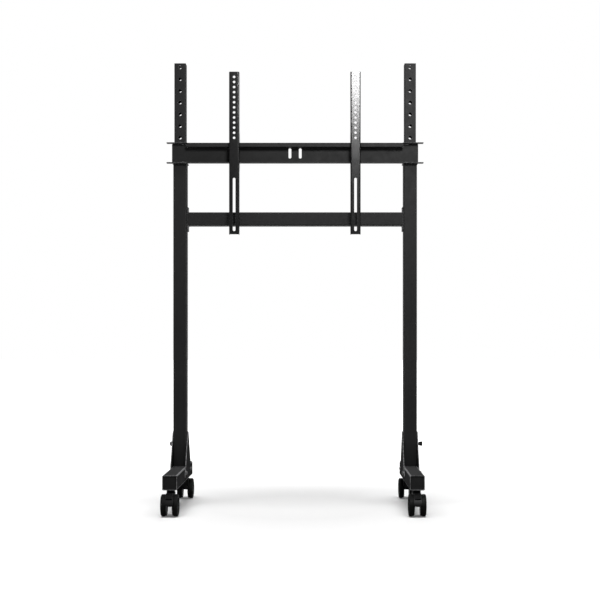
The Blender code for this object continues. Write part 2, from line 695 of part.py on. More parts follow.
def foot_bolts(parent):
    """A domed bolt at the left outer gusset and a tapered hand knob at the right one."""
    face = GUSSET_OUTER + FIT
    shank = FOOT_BOLT_DIAMETER / 2
    shank_end = UPRIGHT_SIZE / 2 - UPRIGHT_WALL - FOOT_SHANK_PAST_WALL
    head = FOOT_HEAD_DIAMETER / 2
    dome = [
        *[(radius * head, face + height * FOOT_HEAD_HEIGHT) for radius, height in FOOT_DOME],
        (head, face),
        (shank, face),
        (shank, shank_end),
        (0, shank_end),
    ]
    bolt = turned(dome, "x")
    bolt.transform(Matrix.Rotation(math.pi, 4, "Z"))
    part("foot_bolt_left", bolt, DARK_BOLT, parent, (-LEG_X, UPRIGHT_Y, FOOT_BOLT_Z))
    knob = FOOT_KNOB_DIAMETER / 2
    end = face + FOOT_KNOB_LENGTH
    grip = [
        (0, end),
        (knob - KNOB_EASED, end),
        (knob, end - KNOB_EASED),
        (FOOT_KNOB_WAIST_DIAMETER / 2, face + FOOT_KNOB_NECK),
        (FOOT_KNOB_NECK_DIAMETER / 2, face + FOOT_KNOB_NECK),
        (FOOT_KNOB_NECK_DIAMETER / 2, face),
        (shank, face),
        (shank, shank_end),
        (0, shank_end),
    ]
    place = (LEG_X, UPRIGHT_Y, FOOT_BOLT_Z)
    part("foot_knob_right", turned(grip, "x"), BLACK_PLASTIC, pivot("foot_knob_pivot", place, parent), place)


def screw_head(grow):
    """Countersunk head and shank of a cross bar screw, from the plate's face down, grown on all sides."""
    head = CROSS_SCREW_HEAD / 2 + grow
    shank = CROSS_SCREW_DIAMETER / 2 + grow
    return [(0, grow), (head, grow), (head, -CROSS_SCREW_RIM), (shank, -CROSS_SCREW_RIM - head + shank)]


def cross_bar(parent):
    half = CROSS_END - CROSS_PLATE / 2
    tube = [square(CROSS_SIZE, UPRIGHT_CORNER), square(CROSS_SIZE - 2 * CROSS_WALL, UPRIGHT_CORNER - CROSS_WALL)]
    bar = part("cross_bar", flat(tube, 2 * half, "x"), POWDER_BLACK, parent, (0, CROSS_Y, CROSS_Z))
    depth = CROSS_PLATE_DEPTH / 2
    height = CROSS_PLATE_HEIGHT / 2
    plate = [box_outline(-depth, -height, depth, height, CROSS_PLATE_CORNER), circle(0, 0, CROSS_VENT_DIAMETER)]
    middle = CROSS_END - CROSS_PLATE / 2
    weld(bar, *[flat(plate, CROSS_PLATE, "x", (side * middle, 0, 0)) for _, side in SIDES])
    seat = [*screw_head(FIT), (CROSS_SCREW_DIAMETER / 2 + FIT, -2 * CROSS_PLATE), (0, -2 * CROSS_PLATE)]
    screw_end = UPRIGHT_SIZE / 2 + CROSS_PLATE + FIT - POST_SIZE / 2 + POST_WALL
    nut_top = -screw_end - FIT
    tip = nut_top - CROSS_SCREW_NUT_HEIGHT - FIT
    screw = [*screw_head(0), (CROSS_SCREW_DIAMETER / 2, tip), (0, tip)]
    seats = []
    for side_name, side in SIDES:
        inner_face = side * (CROSS_END - CROSS_PLATE)
        inward = Matrix.Rotation(math.pi if side > 0 else 0, 4, "Z")
        for row, reach in (("lower", -1), ("upper", 1)):
            height = reach * CROSS_SCREW_REACH
            seat_mesh = turned(seat, "x")
            seat_mesh.transform(Matrix.Translation((inner_face, 0, height)) @ inward)
            seats.append(seat_mesh)
            screw_mesh = turned(screw, "x")
            nut = hexagon(CROSS_SCREW_NUT, nut_top - CROSS_SCREW_NUT_HEIGHT, nut_top, "x")
            screw_mesh.transform(inward)
            nut.transform(inward)
            place = (inner_face, CROSS_Y, CROSS_Z + height)
            weld(part(f"cross_screw_{row}_{side_name}", screw_mesh, DARK_BOLT, parent, place), nut)
    cut(bar, *seats)


def monitor_bar(parent):
    """Web plate with a bottom flange, and a shelf whose front lip turns up, cut back at the collars."""
    web_bottom = BAR_BOTTOM + COLLAR_SHEET + FIT
    web = box_outline(-BAR_HALF, web_bottom, BAR_HALF, BAR_TOP, BAR_CORNER)
    slot_top = BAR_TOP - BAR_SLOT_DOWN
    slots = []
    for _, side in SIDES:
        x = side * BAR_SLOT_SPACING / 2
        half = BAR_SLOT_WIDTH / 2
        slots.append(box_outline(x - half, slot_top - BAR_SLOT_LENGTH, x + half, slot_top, half))
    web_middle = (0, BAR_BACK - BAR_SHEET / 2, 0)
    bar = part("monitor_bar", flat([web, *slots], BAR_SHEET, "y", web_middle), POWDER_BLACK, parent)
    shelf = [
        (BAR_BACK - BAR_SHEET / 2, SHELF_BOTTOM, 0),
        (BAR_BACK - BAR_SHEET / 2, SHELF_TOP, 0),
        (BAR_FRONT + BAR_SHEET, SHELF_TOP, EASED),
        (BAR_FRONT + BAR_SHEET, BAR_TOP, EASED),
        (BAR_FRONT, BAR_TOP, EASED),
        (BAR_FRONT, SHELF_BOTTOM, BAR_SHEET),
    ]
    fold_back = BAR_BACK - FIT
    fold_front = BAR_WEB_FRONT + FIT
    flange = [
        (BAR_FRONT, BAR_BOTTOM, EASED),
        (fold_back, BAR_BOTTOM, BAR_FOLD),
        (fold_back, web_bottom + BAR_SHEET, 0),
        (fold_front, web_bottom + BAR_SHEET, 0),
        (fold_front, BAR_BOTTOM + BAR_SHEET, 0),
        (BAR_FRONT, BAR_BOTTOM + BAR_SHEET, EASED),
    ]
    weld(bar, *[flat([rounded(loop)], 2 * FLANGE_HALF, "x") for loop in (shelf, flange)])
    return bar


def collar(side_name, side, parent):
    """Two plates with ears, joined behind the web by a sleeve round the post, with a boss for the lock."""
    front = POST_FRONT - COLLAR_FRONT
    back = COLLAR_BACK + COLLAR_REAR
    half = COLLAR_PLATE_HALF
    outline = rounded([
        (-side * half, front, EAR_CORNER),
        (side * EAR_REACH, front, EAR_CORNER),
        (side * EAR_REACH, front + EAR_DEPTH, EAR_CORNER),
        (side * half, front + EAR_DEPTH, 0),
        (side * half, back, EAR_CORNER),
        (-side * half, back, EAR_CORNER),
    ])
    origin = Vector((side * LEG_X, 0, 0))
    plate_middles = (BAR_BOTTOM + COLLAR_SHEET / 2, COLLAR_TOP - COLLAR_SHEET / 2)
    plates = [flat([outline], COLLAR_SHEET, "z", (0, 0, z)) for z in plate_middles]
    body = part(f"collar_{side_name}", plates[0], POWDER_BLACK, parent, origin)
    sleeve = box(
        (-COLLAR_HALF, BAR_BACK + FIT, plate_middles[0]),
        (COLLAR_HALF, COLLAR_BACK, plate_middles[1]),
    )
    boss = rod(LOCK_BOSS_DIAMETER, -COLLAR_BACK - LOCK_BOSS_LENGTH, -COLLAR_BACK + COLLAR_SHEET / 2, "y",
               (0, 0, LOCK_Z))
    weld(body, sleeve, plates[1], boss)
    room = POST_SIZE / 2 + SLIDE
    cut(body, box((-room, BAR_BACK, 0), (room, UPRIGHT_Y + room, POST_TOP)))
    pin = LOCK_PIN_DIAMETER + HOLE_ROOM
    cut(body, rod(pin, -COLLAR_BACK - 2 * LOCK_BOSS_LENGTH, -UPRIGHT_Y, "y", (0, 0, LOCK_Z)))

    start = POST_BACK + FIT
    knob_from = COLLAR_BACK + LOCK_BOSS_LENGTH + FIT
    knob_to = knob_from + LOCK_KNOB_LENGTH
    grip = LOCK_KNOB_DIAMETER / 2
    pin_radius = LOCK_PIN_DIAMETER / 2
    profile = [
        (0, start),
        (pin_radius, start),
        (pin_radius, knob_from),
        (LOCK_KNOB_NECK_DIAMETER / 2, knob_from),
        (grip, knob_from + LOCK_KNOB_CONE),
        (grip, knob_to - LOCK_KNOB_EASED),
        (grip - LOCK_KNOB_EASED, knob_to),
        (0, knob_to),
    ]
    profile = [(radius, UPRIGHT_Y - y) for radius, y in profile]
    place = (side * LEG_X, UPRIGHT_Y, LOCK_Z)
    holder = pivot(f"height_lock_pivot_{side_name}", place, parent)
    part(f"height_lock_{side_name}", turned(profile, "y"), BLACK_PLASTIC, holder, place)


def channel(width, depth, sheet, radius):
    """Outline of a channel seen from above, its web at y = 0 and its open side at the back."""
    half = width / 2
    inner = half - sheet
    return rounded([
        (-half, 0, radius),
        (half, 0, radius),
        (half, depth, 0),
        (inner, depth, 0),
        (inner, sheet, radius - sheet),
        (-inner, sheet, radius - sheet),
        (-inner, depth, 0),
        (-half, depth, 0),
    ])


def bracket(side_name, side, parent):
    """Screen bracket: a channel with holes and a slot, cut back except where it hooks over the lip."""
    x = side * BRACKET_X
    origin = Vector((x, BRACKET_FRONT, BRACKET_BOTTOM))
    outline = channel(BRACKET_WIDTH, BRACKET_HOOK_DEPTH, BRACKET_SHEET, BRACKET_ROUND)
    mesh = flat([outline], BRACKET_LENGTH, "z", (0, 0, BRACKET_LENGTH / 2))
    slider = pivot(f"bracket_{side_name}_slide", origin, parent)
    body = part(f"bracket_{side_name}", mesh, BRACKET_BLACK, slider, origin)

    far = 2 * BRACKET_HOOK_DEPTH
    cheek_low = TAB_Z - TAB_CHEEK - BRACKET_BOTTOM
    hook_low = BAR_TOP + FIT - BRACKET_BOTTOM
    hook_high = hook_low + HOOK_HEIGHT
    slope = BRACKET_HOOK_DEPTH - BRACKET_DEPTH
    bar_low = BAR_BOTTOM - FIT - BRACKET_BOTTOM
    lip_front = BAR_FRONT - FIT - BRACKET_FRONT
    lip_back = BAR_FRONT + BAR_SHEET + FIT - BRACKET_FRONT
    lower = [
        (BRACKET_DEPTH, -CUT_PAST),
        (far, -CUT_PAST),
        (far, cheek_low + far - BRACKET_DEPTH - slope),
        (BRACKET_DEPTH, cheek_low - slope),
    ]
    upper = [
        (BRACKET_DEPTH, hook_high + slope),
        (far, hook_high + slope + BRACKET_DEPTH - far),
        (far, BRACKET_LENGTH + CUT_PAST),
        (BRACKET_DEPTH, BRACKET_LENGTH + CUT_PAST),
    ]
    notch = [
        (lip_front, bar_low),
        (far, bar_low),
        (far, hook_low - HOOK_FINGER),
        (lip_back, hook_low - HOOK_FINGER),
        (lip_back, hook_low),
        (lip_front, hook_low),
    ]
    cut(body, *[flat([loop], 2 * BRACKET_WIDTH, "x") for loop in (lower, upper, notch)])

    tab_z = TAB_Z - BRACKET_BOTTOM
    tab_half = BRACKET_WIDTH / 2 - BRACKET_SHEET / 2
    tab_y = BAR_FRONT + BAR_REACH / 2 - BRACKET_FRONT
    tab = box((-tab_half, BRACKET_SHEET / 2, tab_z - TAB_SHEET / 2),
              (tab_half, BRACKET_HOOK_DEPTH - TAB_SHORT, tab_z + TAB_SHEET / 2))
    weld(body, tab)
    top_hole = BRACKET_LENGTH - BRACKET_TOP_HOLE_DOWN
    holes = [
        rod(BRACKET_HOLE_DIAMETER, -2 * BRACKET_SHEET, BRACKET_SHEET, "y", (0, 0, top_hole - i * BRACKET_HOLE_PITCH))
        for i in range(BRACKET_HOLES)
    ]
    half = BRACKET_SLOT_WIDTH / 2
    slot = box_outline(-half, BRACKET_SLOT_UP, half, BRACKET_SLOT_UP + BRACKET_SLOT_LENGTH, half)
    lock_hole = rod(BRACKET_LOCK_DIAMETER + HOLE_ROOM, -2 * TAB_SHEET, 2 * TAB_SHEET, "z", (0, tab_y, tab_z))
    cut(body, flat([slot], 4 * BRACKET_SHEET, "y"), lock_hole, *holes)

    screw_top = BAR_BOTTOM - FIT
    knob_top = TAB_Z - TAB_SHEET / 2 - FIT
    knob_low = knob_top - BRACKET_KNOB_LENGTH
    radius = BRACKET_LOCK_DIAMETER / 2
    grip = BRACKET_KNOB_DIAMETER / 2
    profile = [
        (0, screw_top),
        (radius, screw_top),
        (radius, knob_top),
        (grip - EASED, knob_top),
        (grip, knob_top - EASED),
        (grip, knob_low + KNOB_EASED),
        (grip - KNOB_EASED, knob_low),
        (0, knob_low),
    ]
    place = (x, BRACKET_FRONT + tab_y, TAB_Z)
    profile = [(r, z - TAB_Z) for r, z in profile]
    holder = pivot(f"bracket_lock_pivot_{side_name}", place, slider)
    part(f"bracket_lock_{side_name}", turned(profile, "z"), BLACK_PLASTIC, holder, place)


def build():
    base = pivot("base", (0, 0, 0))
    for side_name, side in SIDES:
        leg(side_name, side, base)
        upright(side_name, side, base)
        post(side_name, side, base)
        gussets(side_name, side, base)
        for end_name, end in ENDS:
            swivel, body = caster(f"{end_name}_{side_name}", side, end, side * LEG_X, base)
            if end_name == "front":
                brake_lever(f"{end_name}_{side_name}", end, swivel, body)
    foot_bolts(base)
    cross_bar(base)
    carriage = pivot("carriage", (0, 0, 0), base)
    monitor_bar(carriage)
    for side_name, side in SIDES:
        collar(side_name, side, carriage)
        bracket(side_name, side, carriage)


build()
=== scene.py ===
import json
from math import cos, pi, radians, sin, tan

import bmesh
import bpy
from mathutils import Matrix, Vector

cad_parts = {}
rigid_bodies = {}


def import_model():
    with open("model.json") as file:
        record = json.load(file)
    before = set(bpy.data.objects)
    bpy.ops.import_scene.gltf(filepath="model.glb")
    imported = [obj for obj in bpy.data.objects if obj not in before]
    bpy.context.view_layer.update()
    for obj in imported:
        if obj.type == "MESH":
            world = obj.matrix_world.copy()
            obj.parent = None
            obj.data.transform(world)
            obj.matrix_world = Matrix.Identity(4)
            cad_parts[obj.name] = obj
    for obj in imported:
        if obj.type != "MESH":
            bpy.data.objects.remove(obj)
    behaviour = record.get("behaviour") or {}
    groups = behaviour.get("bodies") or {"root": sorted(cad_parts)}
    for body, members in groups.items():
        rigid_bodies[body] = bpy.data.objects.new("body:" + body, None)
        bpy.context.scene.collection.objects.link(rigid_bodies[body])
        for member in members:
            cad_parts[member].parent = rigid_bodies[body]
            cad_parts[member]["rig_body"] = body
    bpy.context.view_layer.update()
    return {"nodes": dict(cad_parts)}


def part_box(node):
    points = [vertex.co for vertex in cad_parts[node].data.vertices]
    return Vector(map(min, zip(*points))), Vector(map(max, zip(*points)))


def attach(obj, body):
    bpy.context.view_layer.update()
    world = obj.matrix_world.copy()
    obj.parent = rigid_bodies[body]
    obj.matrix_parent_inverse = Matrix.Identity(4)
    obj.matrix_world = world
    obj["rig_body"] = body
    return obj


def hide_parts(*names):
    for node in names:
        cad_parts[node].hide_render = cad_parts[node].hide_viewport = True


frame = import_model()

SIDES = (("left", -1), ("right", 1))
ENDS = (("front", -1), ("rear", 1))

# Gap between seated pieces
GAP = 0.0003

# Tubes
LEG_WALL = 0.0025
LEG_CORNER = 0.0042
LEG_STEM_HOLE = 0.0126
TUBE_WALL = 0.002
UPRIGHT_WALL = 0.003
UPRIGHT_CORNER = 0.0038
POST_CORNER = 0.0032
POST_HOLES = 9
POST_HOLE_PITCH = 0.0423
POST_HOLE_DIAMETER = 0.0125
POST_TOP_HOLE_DOWN = 0.0147

# Foot gussets
GUSSET_HALF = 0.1
GUSSET_APEX = 0.17
GUSSET_BOLT_HOLE = 0.0086
GUSSET_CORNER = 0.006
GUSSET_TOP_ROUND = 0.012
GUSSET_BOLT_UP = 0.0155
GUSSET_BOLT_REACH = 0.075
FOOT_BOLT_UP = 0.1135

# Cross bar
CROSS_SIZE = 0.048
CROSS_PLATE = 0.004
CROSS_PLATE_DEPTH = 0.044
CROSS_PLATE_HOLE = 0.016
CROSS_WELD_HALF = 0.0185
CROSS_SCREW_REACH = 0.033

# Monitor bar and collars
SHEET = 0.003
BAR_SLOT_WIDTH = 0.01
BAR_SLOT_LENGTH = 0.0365
BAR_SLOT_SPACING = 0.0372
BAR_SLOT_DOWN = 0.0156
BAR_LIP = 0.0147
FLANGE_HALF = 0.3879
POST_ROOM = 0.0211
SLEEVE_HALF = 0.0241
PLATE_HALF = 0.0275
EAR_REACH = 0.0463
EAR_DEPTH = 0.02
LOCK_BOSS_LENGTH = 0.01

# Screen brackets
BRACKET_SHEET = 0.0025
BRACKET_ROUND = 0.0044
BRACKET_DEPTH = 0.0235
BRACKET_HOLES = 13
BRACKET_HOLE_PITCH = 0.0181
BRACKET_HOLE_DIAMETER = 0.009
BRACKET_TOP_HOLE_DOWN = 0.0187
BRACKET_SLOT_WIDTH = 0.0095
BRACKET_SLOT_LENGTH = 0.19
BRACKET_SLOT_UP = 0.0114
HOOK_HEIGHT = 0.0235
HOOK_FINGER = 0.0095
CHEEK = 0.007
CHEEK_BELOW_BAR = 0.01

# Casters
TRAIL = 0.028
WHEEL_RADIUS = 0.0375
HOOD_RADIUS = 0.0385
HOOD_WIDTH = 0.0285
HOOD_WEB = 0.0185
HOOD_WELL_RADIUS = 0.0362
HOOD_BOTTOM = 0.041
AXLE_LOBE = 0.0055
SWIVEL_RADIUS = 0.0145
SWIVEL_HEIGHT = 0.0067
STEM_FLANGE = 0.0027
WHEEL_SHOULDER = 0.0051
LEVER_WIDTH = 0.01
LEVER_ROOM = 0.011
LEVER_PAD = (35, 78)
LEVER_PAD_RADII = (0.039, 0.0424)
LEVER_ARM_AT = 56
LEVER_TURN = 15
LEVER_HUB_RADIUS = 0.0058
LEVER_RIBS = 7

# Roundness
ARC_STEPS = 5
HOLE_STEPS = 32
TURN_STEPS = 48
WHEEL_STEPS = 72
SHARP = radians(38)

# Wear and painted highlight on rims, bends and sawn ends, and the lean past which a face counts as a bend
EDGE_WEAR_AND_HIGHLIGHT = 0.85
SAWN_END_WEAR_AND_HIGHLIGHT = 0.55
TUBE_WEAR_AND_HIGHLIGHT = 0.06
BEND_LEAN = 0.12

# Local x, y and z of a drawn shape, laid along a world axis
ALONG = {
    "x": Matrix(((0, 0, 1, 0), (1, 0, 0, 0), (0, 1, 0, 0), (0, 0, 0, 1))),
    "y": Matrix(((1, 0, 0, 0), (0, 0, -1, 0), (0, 1, 0, 0), (0, 0, 0, 1))),
    "z": Matrix.Identity(4),
}
HALF_TURN = Matrix.Rotation(pi, 4, "Z")


def tuned(thing, **settings):
    for key, value in settings.items():
        setattr(thing, key, value)
    return thing


# Finishes

def add(tree, kind, sockets=None, **settings):
    """A node with its settings, and its sockets either linked or set."""
    made = tuned(tree.nodes.new(kind), **settings)
    for key, value in (sockets or {}).items():
        if isinstance(value, bpy.types.NodeSocket):
            tree.links.new(value, made.inputs[key])
        else:
            made.inputs[key].default_value = value
    return made


def noise(tree, where, scale, detail, roughness):
    made = add(tree, "ShaderNodeTexNoise", {
        "Vector": where, "Scale": scale, "Detail": detail, "Roughness": roughness,
    })
    return made.outputs["Fac"]


def spread(tree, value, low, high, to_low=0.0, to_high=1.0):
    """The value's range from low to high, drawn out to another range."""
    made = add(tree, "ShaderNodeMapRange", {
        "Value": value, "From Min": low, "From Max": high, "To Min": to_low, "To Max": to_high,
    })
    return made.outputs["Result"]


def reckon(tree, operation, first, second, **settings):
    return add(tree, "ShaderNodeMath", {0: first, 1: second}, operation=operation, **settings).outputs[0]


def times(tree, first, second):
    return reckon(tree, "MULTIPLY", first, second)


def blend_tone(tree, amount, first, second):
    made = add(tree, "ShaderNodeMix", {"Factor": amount}, data_type="RGBA")
    for index, tone in ((6, first), (7, second)):
        if isinstance(tone, bpy.types.NodeSocket):
            tree.links.new(tone, made.inputs[index])
        else:
            made.inputs[index].default_value = (*tone, 1)
    return made.outputs[2]


def finish(name, dark, light, worn_and_lit_edge_tone, rough, worn_rough, metal, specular,
           mottle, grain, grain_depth, streak, streak_depth):
    """A finish with mottled tone, patchy gloss, grain, faint rubbing lines, and wear with a painted highlight along
    its edges.
    """
    material = bpy.data.materials.new(name)
    material.use_nodes = True
    tree = material.node_tree
    shader = tree.nodes["Principled BSDF"]
    where = add(tree, "ShaderNodeTexCoord").outputs["Object"]

    cloud = noise(tree, where, mottle, 4.0, 0.6)
    tone = blend_tone(tree, spread(tree, cloud, 0.3, 0.7), dark, light)
    patches = noise(tree, where, mottle * 9, 6.0, 0.7)
    gloss = spread(tree, patches, 0.3, 0.7, rough[0], rough[1])

    drawn = add(tree, "ShaderNodeMapping", {"Vector": where, "Scale": streak}).outputs[0]
    lines = noise(tree, drawn, 1.0, 3.0, 0.65)
    fine = noise(tree, where, grain, 2.0, 0.5)

    # Faces marked by the rim attribute turn toward the lighter edge tone: wear, and a painted highlight on edges and
    # bends.
    rim = add(tree, "ShaderNodeAttribute", attribute_name="rim").outputs["Fac"]
    edge_wear_and_painted_highlight = times(tree, rim, spread(tree, noise(tree, where, 130.0, 5.0, 0.7), 0.34, 0.6))
    tone = blend_tone(tree, edge_wear_and_painted_highlight, tone, worn_and_lit_edge_tone)
    mixed = add(tree, "ShaderNodeMix", {0: edge_wear_and_painted_highlight, 2: gloss, 3: worn_rough}, data_type="FLOAT")

    relief = add(tree, "ShaderNodeBump", {"Height": lines, "Strength": 1.0, "Distance": streak_depth})
    relief = add(tree, "ShaderNodeBump", {
        "Height": fine, "Strength": 1.0, "Distance": grain_depth, "Normal": relief.outputs[0],
    })
    tree.links.new(tone, shader.inputs["Base Color"])
    tree.links.new(mixed.outputs[0], shader.inputs["Roughness"])
    tree.links.new(relief.outputs[0], shader.inputs["Normal"])
    shader.inputs["Metallic"].default_value = metal
    shader.inputs["Specular IOR Level"].default_value = specular
    return material


POWDER_COAT = finish(
    "black_powder_coat", (0.014, 0.014, 0.0144), (0.019, 0.019, 0.0193), (0.3, 0.3, 0.305),
    (0.5, 0.6), 0.42, 0.0, 0.025, 5.0, 900.0, 0.000035, (330.0, 330.0, 330.0), 0.00012,
)
# The legs' and gussets' copy of the black powder coat, painted about twice as light and without gloss: painted light
# in place of how the lamps light the legs.
LEG_COAT_PAINTED_LIGHTER = finish(
    "leg_powder_coat_painted_lighter", (0.03, 0.03, 0.0304), (0.038, 0.038, 0.0384), (0.3, 0.3, 0.305),
    (0.5, 0.6), 0.42, 0.0, 0.0, 5.0, 900.0, 0.000035, (330.0, 330.0, 330.0), 0.00012,
)
BRACKET_COAT = finish(
    "bracket_coat", (0.0105, 0.0105, 0.0108), (0.0145, 0.0145, 0.0148), (0.15, 0.15, 0.153),
    (0.18, 0.24), 0.2, 0.0, 0.055, 6.0, 1000.0, 0.000028, (330.0, 330.0, 330.0), 0.0001,
)
MOULDED_PLASTIC = finish(
    "moulded_black_plastic", (0.0042, 0.0042, 0.0043), (0.0066, 0.0066, 0.0067), (0.03, 0.03, 0.03),
    (0.44, 0.54), 0.38, 0.0, 0.025, 18.0, 1700.0, 0.00005, (40.0, 40.0, 40.0), 0.00003,
)
CAP_PLASTIC = finish(
    "end_cap_plastic", (0.003, 0.003, 0.0031), (0.0046, 0.0046, 0.0047), (0.02, 0.02, 0.02),
    (0.6, 0.7), 0.5, 0.0, 0.05, 18.0, 1700.0, 0.00005, (40.0, 40.0, 40.0), 0.00003,
)
TYRE_RUBBER = finish(
    "caster_tyre", (0.0022, 0.0022, 0.0022), (0.005, 0.0049, 0.0048), (0.018, 0.0175, 0.017),
    (0.5, 0.64), 0.55, 0.0, 0.02, 22.0, 1300.0, 0.00006, (60.0, 60.0, 60.0), 0.00006,
)
BLACKENED_STEEL = finish(
    "blackened_bolt_steel", (0.055, 0.055, 0.058), (0.085, 0.083, 0.082), (0.22, 0.21, 0.2),
    (0.28, 0.4), 0.22, 1.0, 0.5, 30.0, 2200.0, 0.00002, (200.0, 200.0, 200.0), 0.00001,
)
ZINC_PLATE = finish(
    "zinc_plated_steel", (0.42, 0.43, 0.45), (0.56, 0.56, 0.55), (0.66, 0.66, 0.65),
    (0.24, 0.38), 0.2, 1.0, 0.5, 26.0, 2000.0, 0.00002, (300.0, 300.0, 60.0), 0.00002,
)
FINISH_OF_SLOT = {
    "powder_black": POWDER_COAT,
    "bracket_black": BRACKET_COAT,
    "black_plastic": MOULDED_PLASTIC,
    "tyre_black": TYRE_RUBBER,
    "dark_bolt": BLACKENED_STEEL,
    "zinc": ZINC_PLATE,
}


# Drawing

def rounded(corners, steps=ARC_STEPS, closed=True):
    """A line through (x, y, radius) corners, each corner an arc. An open line keeps its two ends."""
    points = []
    count = len(corners)
    for i, (x, y, radius) in enumerate(corners):
        corner = Vector((x, y))
        if radius == 0 or (not closed and i in (0, count - 1)):
            points.append(corner)
            continue
        before = (Vector(corners[i - 1][:2]) - corner).normalized()
        after = (Vector(corners[(i + 1) % count][:2]) - corner).normalized()
        half = before.angle(after) / 2
        centre = corner + (before + after).normalized() * radius / sin(half)
        start = corner + before * radius / tan(half) - centre
        end = corner + after * radius / tan(half) - centre
        turn = start.angle_signed(end)
        for step in range(steps + 1):
            points.append(centre + Matrix.Rotation(-turn * step / steps, 2) @ start)
    kept = [p for i, p in enumerate(points) if (i == 0 and not closed) or (p - points[i - 1]).length > 1e-6]
    return [(p.x, p.y) for p in kept]


def box_outline(low_x, low_y, high_x, high_y, radius, steps=ARC_STEPS):
    corners = [(low_x, low_y, radius), (high_x, low_y, radius), (high_x, high_y, radius), (low_x, high_y, radius)]
    return rounded(corners, steps)


def square(size, radius):
    return box_outline(-size / 2, -size / 2, size / 2, size / 2, radius)


def circle(x, y, diameter, steps=HOLE_STEPS):
    turns = (2 * pi * (i + 0.5) / steps for i in range(steps))
    return [(x + diameter / 2 * cos(a), y + diameter / 2 * sin(a)) for a in turns]


def polar(radius, degrees, middle=(0, 0)):
    return middle[0] + radius * cos(radians(degrees)), middle[1] + radius * sin(radians(degrees))


def arc(radius, start, stop, steps, middle=(0, 0)):
    """Points on a circle, angles in degrees."""
    return [polar(radius, start + (stop - start) * i / steps, middle) for i in range(steps + 1)]


def level(outline, height):
    return [(x, y, height) for x, y in outline]


def mesh_from(work):
    mesh = bpy.data.meshes.new("shape")
    work.to_mesh(mesh)
    work.free()
    return mesh


def settled(work):
    """A mesh from the bmesh, welded and facing outwards."""
    bmesh.ops.remove_doubles(work, verts=work.verts, dist=1e-6)
    bmesh.ops.recalc_face_normals(work, faces=work.faces)
    return mesh_from(work)


def skin(rings, tube=False):
    """Faces between rings of equal length. The ends are capped, or the last ring joins the first."""
    work = bmesh.new()
    rows = [[work.verts.new(point) for point in ring] for ring in rings]
    ends = [(rows[-1], rows[0])] if tube else []
    for low, high in [*zip(rows, rows[1:]), *ends]:
        for i in range(len(low)):
            work.faces.new((low[i - 1], low[i], high[i], high[i - 1]))
    if not tube:
        work.faces.new(rows[0])
        work.faces.new(rows[-1])
    return settled(work)


def placed(mesh, axis, middle=(0, 0, 0), turn=None):
    mesh.transform(Matrix.Translation(middle) @ (turn or Matrix.Identity(4)) @ ALONG[axis])
    return mesh


def turned(corners, axis, middle=(0, 0, 0), steps=TURN_STEPS, tube=False, turn=None):
    """(radius, height) corners turned about the axis, each with its rounding where it has one."""
    line = rounded([(*corner, 0)[:3] for corner in corners], 4, closed=tube)
    rings = [level(circle(0, 0, 2 * radius, steps), height) for radius, height in line]
    return placed(skin(rings, tube), axis, middle, turn)


def shape_in(holder, *more):
    """The evaluated mesh of scratch objects, which are removed. Its faces keep their material numbers."""
    evaluated = holder.evaluated_get(bpy.context.evaluated_depsgraph_get())
    mesh = bpy.data.meshes.new_from_object(evaluated)
    for obj in (holder, *more):
        bpy.data.objects.remove(obj)
    return mesh


def linked(name, data):
    obj = bpy.data.objects.new(name, data)
    bpy.context.scene.collection.objects.link(obj)
    return obj


def scratch(data):
    return linked("scratch", data)


def plate(loops, thickness, axis, middle, rim):
    """A flat outline with holes and eased rims, thick along the axis, centred on middle."""
    curve = tuned(bpy.data.curves.new("outline", "CURVE"), dimensions="2D", fill_mode="BOTH",
                  extrude=thickness / 2 - rim, bevel_depth=rim, bevel_resolution=1, offset=-rim)
    for loop in loops:
        spline = curve.splines.new("POLY")
        spline.points.add(len(loop) - 1)
        for point, (x, y) in zip(spline.points, loop):
            point.co = (x, y, 0, 1)
        spline.use_cyclic_u = True
    work = bmesh.new()
    work.from_mesh(shape_in(scratch(curve)))
    mesh = settled(work)
    for face in mesh.polygons:
        face.material_index = int(0.1 < abs(face.normal.z) < 0.97)
    return placed(mesh, axis, middle)


def joined(*meshes):
    work = bmesh.new()
    for mesh in meshes:
        work.from_mesh(mesh)
    return mesh_from(work)


def carved(mesh, *cutters, operation="DIFFERENCE"):
    holder = scratch(mesh)
    tools = [scratch(cutter) for cutter in cutters]
    for tool in tools:
        tuned(holder.modifiers.new("Carve", "BOOLEAN"), operation=operation, object=tool)
    return shape_in(holder, *tools)


def softened(mesh, width, segments=2, angle=35):
    """Sharp edges eased. The new faces get material number 1, which marks them as rim."""
    mesh.materials.clear()
    mesh.materials.append(None)
    mesh.materials.append(None)
    holder = scratch(mesh)
    tuned(holder.modifiers.new("Ease", "BEVEL"), width=width, segments=segments, limit_method="ANGLE",
          angle_limit=radians(angle), use_clamp_overlap=False, material=1)
    return shape_in(holder)


def block(low, high, ease):
    work = bmesh.new()
    size = Vector(high) - Vector(low)
    middle = (Vector(high) + Vector(low)) / 2
    bmesh.ops.create_cube(work, size=1, matrix=Matrix.Translation(middle) @ Matrix.Diagonal((*size, 1)))
    mesh = settled(work)
    return softened(mesh, ease) if ease else mesh


def prism(outline, low, high, axis, middle=(0, 0, 0)):
    """An outline drawn out between two heights along the axis."""
    return placed(skin([level(outline, low), level(outline, high)]), axis, middle)


def rod(diameter, low, high, axis, middle=(0, 0, 0), steps=HOLE_STEPS):
    return prism(circle(0, 0, diameter, steps), low, high, axis, middle)


def hexagon(across, low, high, axis, middle=(0, 0, 0)):
    return rod(across / cos(pi / 6), low, high, axis, middle, 6)


def nut(across, low, high, bore, axis, middle=(0, 0, 0)):
    """A hexagon nut with chamfered corners and a bore."""
    corner = across / cos(pi / 6) / 2
    cone = (corner - across * 0.475) * tan(radians(30))
    shell = turned([
        (0, low), (across * 0.475, low), (corner, low + cone),
        (corner, high - cone), (across * 0.475, high), (0, high),
    ], axis, middle)
    body = carved(hexagon(across, low, high, axis, middle), shell, operation="INTERSECT")
    return softened(carved(body, rod(bore, 2 * low - high, 2 * high - low, axis, middle)), 0.0002, 1)


# Shapes that repeat

